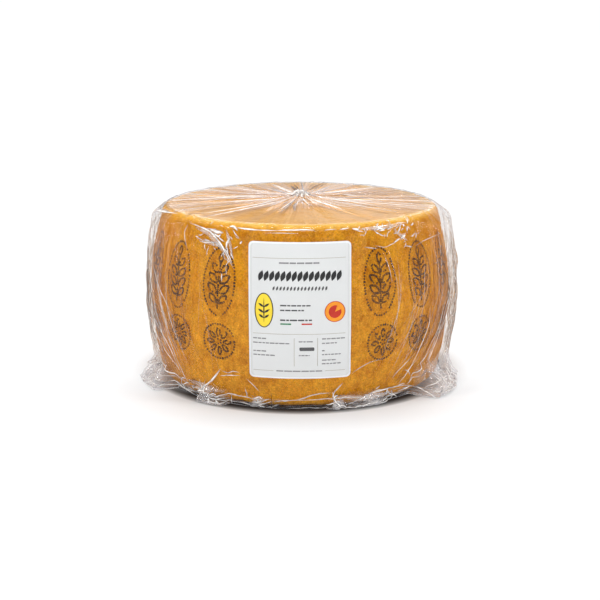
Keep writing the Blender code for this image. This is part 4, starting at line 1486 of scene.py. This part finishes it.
along_strip = np.sin(np.linspace(0, math.pi, PATH_POINTS))[None, :, None] ** 0.5
across_strip = np.array([0.20, 0.85, 1.0, 0.85, 0.20, 0.30])[None, None, :]
film_creases = []
for first in range(0, len(crease_turns), CREASES_A_PIECE):
    chosen = slice(first, first + CREASES_A_PIECE)
    turns = np.array(crease_turns[chosen])
    arcs = np.array(crease_arcs[chosen])
    widths, rises, whitenesses = np.array(crease_sizes[chosen]).T
    strip_points, strip_faces = crease_strips(turns, arcs, widths, rises)
    strip_points[..., 2] = np.maximum(strip_points[..., 2], 0.0)
    piece = add_piece(f"film_creases_{len(film_creases) + 1}", strip_points, strip_faces, clear_film)
    store_film_values(piece, np.repeat(turns, 6, axis=1), np.repeat(arcs, 6, axis=1))
    set_values(piece, "fold_highlight_and_shade", whitenesses[:, None, None] * along_strip * across_strip)
    film_creases.append(piece)
    print(piece.name, "has", len(strip_faces), "faces")

# %% [markdown]
# ## The knot
#
# On the head the ends of the film are twisted together and pressed flat, which leaves a small ruffled
# rosette. It is three nested frills. Each is a ring that opens upwards, with its edge waved in and out and
# up and down, and Solidify gives the single sheet the two faces of a real one.

# %% The knot of gathered film
KNOT_FRILLS = [  # radius, height, number of waves and where they start
    (0.0120, 0.0050, 11, 0.0),
    (0.0085, 0.0075, 7, 1.3),
    (0.0050, 0.0090, 5, 2.2),
]
KNOT_COLUMNS = 220
KNOT_ROWS = 14


def frill(reach, height, count, start):
    """A ruffled ring: radius grows from 2 mm to the reach, height swells and falls, and both are waved by a
    sine of the angle that grows towards the edge."""
    share = np.linspace(0, 1, KNOT_ROWS)[:, None]
    angle = np.linspace(0, 2 * math.pi, KNOT_COLUMNS, endpoint=False)[None, :]
    ruffle = np.sin(count * angle + start + 0.8 * np.sin(3 * angle + start))
    fine = np.sin(2.7 * count * angle + 2 * start + 5 * share)
    radius = 0.002 + (reach - 0.002) * share**1.2 * (1 + 0.22 * np.sin(2 * angle + start))
    radius = radius + 0.10 * reach * share * ruffle
    level = height * np.sin(math.pi * (0.20 + 0.62 * share)) + 0.36 * height * share * ruffle
    level = level + 0.0005 * fine * share
    base = WHEEL_HEIGHT + 2 * FILM_TIGHT + KNOT_HEIGHT * 0.30
    return around(radius, angle, base + level, KNOT_BACK)


knot_points = np.concatenate([frill(*values).reshape(-1, 3) for values in KNOT_FRILLS])
knot_faces = []
for number in range(len(KNOT_FRILLS)):
    knot_faces += ring_faces(KNOT_ROWS, KNOT_COLUMNS, number * KNOT_ROWS * KNOT_COLUMNS)
film_knot = add_piece("film_knot", knot_points, knot_faces, clear_film)
set_values(film_knot, "gathered_and_sheen", np.full(len(knot_points), 0.15))
set_values(film_knot, "crumpled", np.full(len(knot_points), 0.7))
knot_turns = np.arctan2(knot_points[:, 1] - KNOT_BACK, knot_points[:, 0])
# Stripes of whiteness round the knot are painted highlights.
set_values(film_knot, "fold_highlight_and_shade", 0.08 + 0.70 * np.clip(np.sin(9 * knot_turns), 0, 1))
wall = film_knot.modifiers.new("wall", "SOLIDIFY")
wall.thickness = 0.00015
print("knot:", len(knot_faces), "faces")

# %% [markdown]
# ## The label
#
# The label is a sheet of coated paper that follows the belly of the wheel. It is a grid whose rows crowd
# together in the rounded corners, laid round the film, with Solidify for its thickness. The print is plain:
# leaves and bars where there are words, a yellow oval with a sprig, and an orange disc with a wheel that
# lacks a wedge. Each shape is a thin patch bent round the same surface, a hair's breadth in front of the
# paper.

# %% Patches bent round the label
def label_place(across, below_top, lift):
    """Points on the label's face: across is metres to the right of its middle and below_top metres down from
    its upper edge. The radius is the cheese's own plus the film, the gap, the sheet and the lift."""
    height = LABEL_TOP - below_top
    azimuth = FRONT + across / wheel_radius(height - FILM_TIGHT)
    radius = wheel_radius(height - FILM_TIGHT) + unevenness(azimuth, height - FILM_TIGHT)
    radius = radius + FILM_TIGHT + LABEL_GAP + LABEL_THICKNESS + lift
    return around(radius, azimuth, height)


def rounded_patch(left, right, top, bottom, corner):
    """Rows and columns of (across, below the top) for a rectangle with rounded corners. A row's half width
    is narrower inside a corner by what its circle takes away."""
    bend = corner * (1 - np.cos(np.linspace(0, math.pi / 2, 6)))
    columns = max(2, int(math.ceil((right - left) / 0.0035)))
    rows = max(2, int(math.ceil((bottom - top) / 0.006)))
    straight = np.linspace(top + corner, bottom - corner, rows + 1)
    down = np.concatenate([top + bend[:-1], straight, (bottom - bend[:-1])[::-1]]) if corner else straight
    to_end = np.minimum(down - top, bottom - down)
    into = np.clip(corner - to_end, 0, corner)
    half = (right - left) / 2 - corner + np.sqrt(np.maximum(corner**2 - into**2, 0))
    share = np.linspace(-1, 1, columns + 1)
    across = (left + right) / 2 + half[:, None] * share[None, :]
    return across, np.repeat(down[:, None], columns + 1, axis=1)


def oval_patch(across, below, half_width, half_height):
    """Rows and columns for an ellipse: each row's half width is half_width times the cosine of its angle."""
    angle = np.linspace(-math.pi / 2, math.pi / 2, 25)
    share = np.linspace(-1, 1, 2 + 2 * int(math.ceil(half_width / 0.004)))
    width = half_width * np.cos(angle)
    down = below + half_height * np.sin(angle)
    return across + width[:, None] * share[None, :], np.repeat(down[:, None], len(share), axis=1)


def leaf_patch(start, end, half_width, wedge=False):
    """A leaf from start to end, half_width times a half sine wide, or a wedge that widens evenly."""
    t = np.linspace(0, 1, 13)[:, None]
    share = np.linspace(-1, 1, 3)[None, :]
    way = np.array(end) - np.array(start)
    normal = np.array([-way[1], way[0]]) / np.hypot(*way)
    width = half_width * (t if wedge else np.sin(math.pi * t))
    across = start[0] + way[0] * t + normal[0] * width * share
    return across, start[1] + way[1] * t + normal[1] * width * share


def add_patches(name, patches, lift, thickness, finish):
    """One piece from many patches, each bent round the label and given a thickness."""
    points, faces = [], []
    first = 0
    for across, below in patches:
        rows, columns = across.shape
        corner = np.arange(rows * columns).reshape(rows, columns) + first
        quads = [corner[:-1, :-1], corner[1:, :-1], corner[1:, 1:], corner[:-1, 1:]]
        faces.append(np.stack(quads, axis=-1).reshape(-1, 4))
        points.append(label_place(across, below, lift).reshape(-1, 3))
        first += rows * columns
    piece = add_piece(name, np.concatenate(points), np.concatenate(faces).tolist(), finish)
    sheet = piece.modifiers.new("sheet", "SOLIDIFY")
    sheet.thickness = thickness
    sheet.offset = -1
    return piece


# %% The paper sheet
SHEET_THICKNESS = 0.0004


def make_print(name, colour, shade):
    """Ink or paper: two near colours mottled finely together, on a lightly coated surface."""
    made, tree, output = new_material(name)
    place = object_place(tree)
    fibres = mottle(tree, place, 0.0011, 2.0)
    clouds = mottle(tree, place, 0.018, 2.0)
    mask = maths(tree, "MULTIPLY_ADD", clouds, 0.5, maths(tree, "MULTIPLY", fibres, 0.5))
    bump = add_node(tree, "ShaderNodeBump", {"Height": fibres, "Distance": 0.00005, "Strength": 0.6})
    inputs = {
        "Base Color": mixed(tree, mask, (*colour, 1), (*shade, 1)),
        "Roughness": between(tree, fibres, 0, 1, 0.36, 0.50),
        "Specular IOR Level": 0.4,
        "Normal": bump.outputs[0],
    }
    return coated(made, tree, output, inputs)


white_paper = make_print("white_paper", (0.83, 0.84, 0.86), (0.79, 0.80, 0.82))
sheet_patch = rounded_patch(-LABEL_WIDTH / 2, LABEL_WIDTH / 2, 0, LABEL_TOP - LABEL_BOTTOM, LABEL_CORNER)
label = add_patches("label_sheet", [sheet_patch], 0.0, SHEET_THICKNESS, white_paper)
print("label:", LABEL_WIDTH, "by", LABEL_TOP - LABEL_BOTTOM, "m")

# %% Shapes of the print
word_rng = np.random.default_rng(17)


def bar(left, right, top, bottom, corner=0.0):
    """A bar, given in millimetres from the label's middle and from its upper edge."""
    return rounded_patch(left / 1000, right / 1000, top / 1000, bottom / 1000, corner / 1000)


def word_line(left, right, middle, thickness, shortest=3.0, longest=9.0):
    """A line of small bars of random lengths, the way that words in small print look from far away."""
    bars = []
    start = left
    while start < right - 1.0:
        end = min(start + word_rng.uniform(shortest, longest), right)
        if right - end < shortest * 0.6:
            end = right
        bars.append(bar(start, end, middle - thickness / 2, middle + thickness / 2, thickness * 0.3))
        start = end + thickness * 0.55
    return bars


def sprig_patches(across, below, half_height, reach):
    """A stem with three pairs of leaves, in metres."""
    shapes = [leaf_patch((across, below + half_height), (across, below - half_height), 0.0008)]
    for step in (-0.35, 0.10, 0.52):
        level = below + step * half_height
        for side in (1, -1):
            tip = (across + side * reach * (1 - 0.25 * abs(step)), level - 0.42 * reach)
            shapes.append(leaf_patch((across, level + 0.2 * reach), tip, 0.0014))
    return shapes


def leaf_row(left, right, top, bottom, count, half_width, lean):
    """A garland: evenly spaced upright leaves that all lean the same way, in millimetres."""
    leaves = []
    for middle in np.linspace(left, right, count):
        foot = ((middle - lean) / 1000, bottom / 1000)
        tip = ((middle + lean) / 1000, top / 1000)
        leaves.append(leaf_patch(foot, tip, half_width / 1000))
    return leaves


# %% The inks
field_grey = make_print("field_grey", (0.680, 0.690, 0.690), (0.650, 0.662, 0.660))
black_ink = make_print("black_ink", (0.012, 0.012, 0.013), (0.030, 0.030, 0.032))
dark_ink = make_print("dark_ink", (0.060, 0.060, 0.062), (0.100, 0.100, 0.102))
grey_ink = make_print("grey_ink", (0.190, 0.190, 0.195), (0.280, 0.280, 0.285))
fawn_ink = make_print("fawn_ink", (0.360, 0.335, 0.280), (0.440, 0.410, 0.350))
yellow_ink = make_print("yellow_ink", (0.900, 0.690, 0.045), (0.860, 0.620, 0.030))
orange_ink = make_print("orange_ink", (0.880, 0.330, 0.020), (0.820, 0.260, 0.012))
red_ink = make_print("red_ink", (0.560, 0.030, 0.012), (0.470, 0.022, 0.010))
green_ink = make_print("green_ink", (0.030, 0.200, 0.085), (0.045, 0.240, 0.110))
print("the label has paper, a field and eight inks")

# %% The field, the rules and the words
FIELD_INSET = 0.0022
INK_LIFT = 0.00005  # from one layer of print to the next
INK_THICKNESS = 0.00004

field = rounded_patch(
    -LABEL_WIDTH / 2 + FIELD_INSET,
    LABEL_WIDTH / 2 - FIELD_INSET,
    FIELD_INSET,
    LABEL_TOP - LABEL_BOTTOM - FIELD_INSET,
    LABEL_CORNER - FIELD_INSET / 2,
)
rules = [bar(-60, 58, 19.6, 20.2), bar(-60, 58, 116.0, 116.6)]
rules += [bar(-60, -34, 166.2, 166.8), bar(32, 58, 166.2, 166.8)]
rules += [bar(-7.6, -7.0, 121.5, 159.4), bar(21.9, 22.5, 121.5, 159.4)]
heading = leaf_row(-49.5, 49.5, 35.2, 48.6, 15, 3.1, 2.4)
strong_lines = leaf_row(-33.0, 33.0, 54.4, 60.2, 16, 1.3, 1.0)
strong_lines += word_line(-25, 15, 78.9, 1.8) + word_line(-25, 5, 85.0, 1.8) + word_line(-25, 15, 97.8, 2.0)
strong_lines += [bar(-0.7, 18.1, 133.8, 138.6, 1.4)]
fine_lines = word_line(-26.3, 24.3, 25.6, 1.9, 8.0, 15.0)
for left, right, middle in (
    (-60, -43, 122.9),
    (-60, -13.3, 128.8),
    (-60, -43.1, 140.0),
    (-60, -32, 145.3),
    (-1.6, 16, 126.2),
    (-1.6, 12.1, 144.8),
    (27.7, 57.5, 122.9),
    (27.7, 46.9, 128.8),
    (27.7, 33, 138.8),
    (27.7, 52.2, 144.1),
    (27.7, 47.3, 151.7),
    (27.7, 52.2, 156.6),
):
    fine_lines += word_line(left, right, middle, 1.6, 2.5, 7.0)
fine_lines += word_line(-30.2, 28.2, 166.5, 1.7, 5.0, 12.0)
print("the words are", len(heading) + len(strong_lines) + len(fine_lines), "leaves and bars")

# %% The badge, the seal and all the print as pieces
BADGE = (-0.0455, 0.0858, 0.0122, 0.0225)  # across, below the top, half width, half height
BADGE_EDGE = 0.0013
SEAL = (0.0443, 0.0876)  # across, below the top
SEAL_RADIUS = 0.0135
SEAL_EDGE = 0.0009
badge_edge = [oval_patch(*BADGE)]
badge_face = [oval_patch(*BADGE[:2], BADGE[2] - BADGE_EDGE, BADGE[3] - BADGE_EDGE)]
seal_edge = [oval_patch(*SEAL, SEAL_RADIUS, SEAL_RADIUS)]
seal_face = [oval_patch(*SEAL, SEAL_RADIUS - SEAL_EDGE, SEAL_RADIUS - SEAL_EDGE)]
seal_wheel = [oval_patch(*SEAL, 0.0082, 0.0082)]
seal_wedge = [leaf_patch(SEAL, (SEAL[0] + 0.0062, SEAL[1] - 0.0062), 0.0042, wedge=True)]

printed = []
for name, patches, layer, ink in (
    ("label_field", [field], 1, field_grey),
    ("print_black", heading + badge_edge, 2, black_ink),
    ("print_dark", strong_lines, 2, dark_ink),
    ("print_grey", fine_lines, 2, grey_ink),
    ("print_fawn", rules, 2, fawn_ink),
    ("print_red", seal_edge + [bar(2.1, 15.1, 101.9, 103.8)], 2, red_ink),
    ("print_green", [bar(-24.6, -11.1, 101.9, 103.8)], 2, green_ink),
    ("print_yellow", badge_face, 3, yellow_ink),
    ("print_orange", seal_face, 3, orange_ink),
    ("badge_sprig", sprig_patches(*BADGE[:2], 0.0165, 0.0078), 4, black_ink),
    ("seal_wheel", seal_wheel, 4, red_ink),
    ("seal_wedge", seal_wedge, 5, orange_ink),
):
    printed.append(add_patches(name, patches, layer * INK_LIFT, INK_THICKNESS, ink))
print("print:", len(printed), "pieces")

# %% [markdown]
# ## Handing over
#
# Each piece is attached to the body that it rides on, and the imported solid that it stands for is hidden.
# The part has no joints, so everything rides on one body.

# %% What each piece stands for
for piece, node, slot in (
    (cheese, "cheese_wheel", "rind"),
    (marks, "cheese_wheel", "rind"),
    (film, "film_wrap", "clear_film"),
    *[(part, "film_wrap", "clear_film") for part in film_creases],
    (film_knot, "film_wrap", "clear_film"),
    (label, "label", "label_paper"),
    *[(part, "label", "label_paper") for part in printed],
):
    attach(piece, "root")
    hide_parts(node)
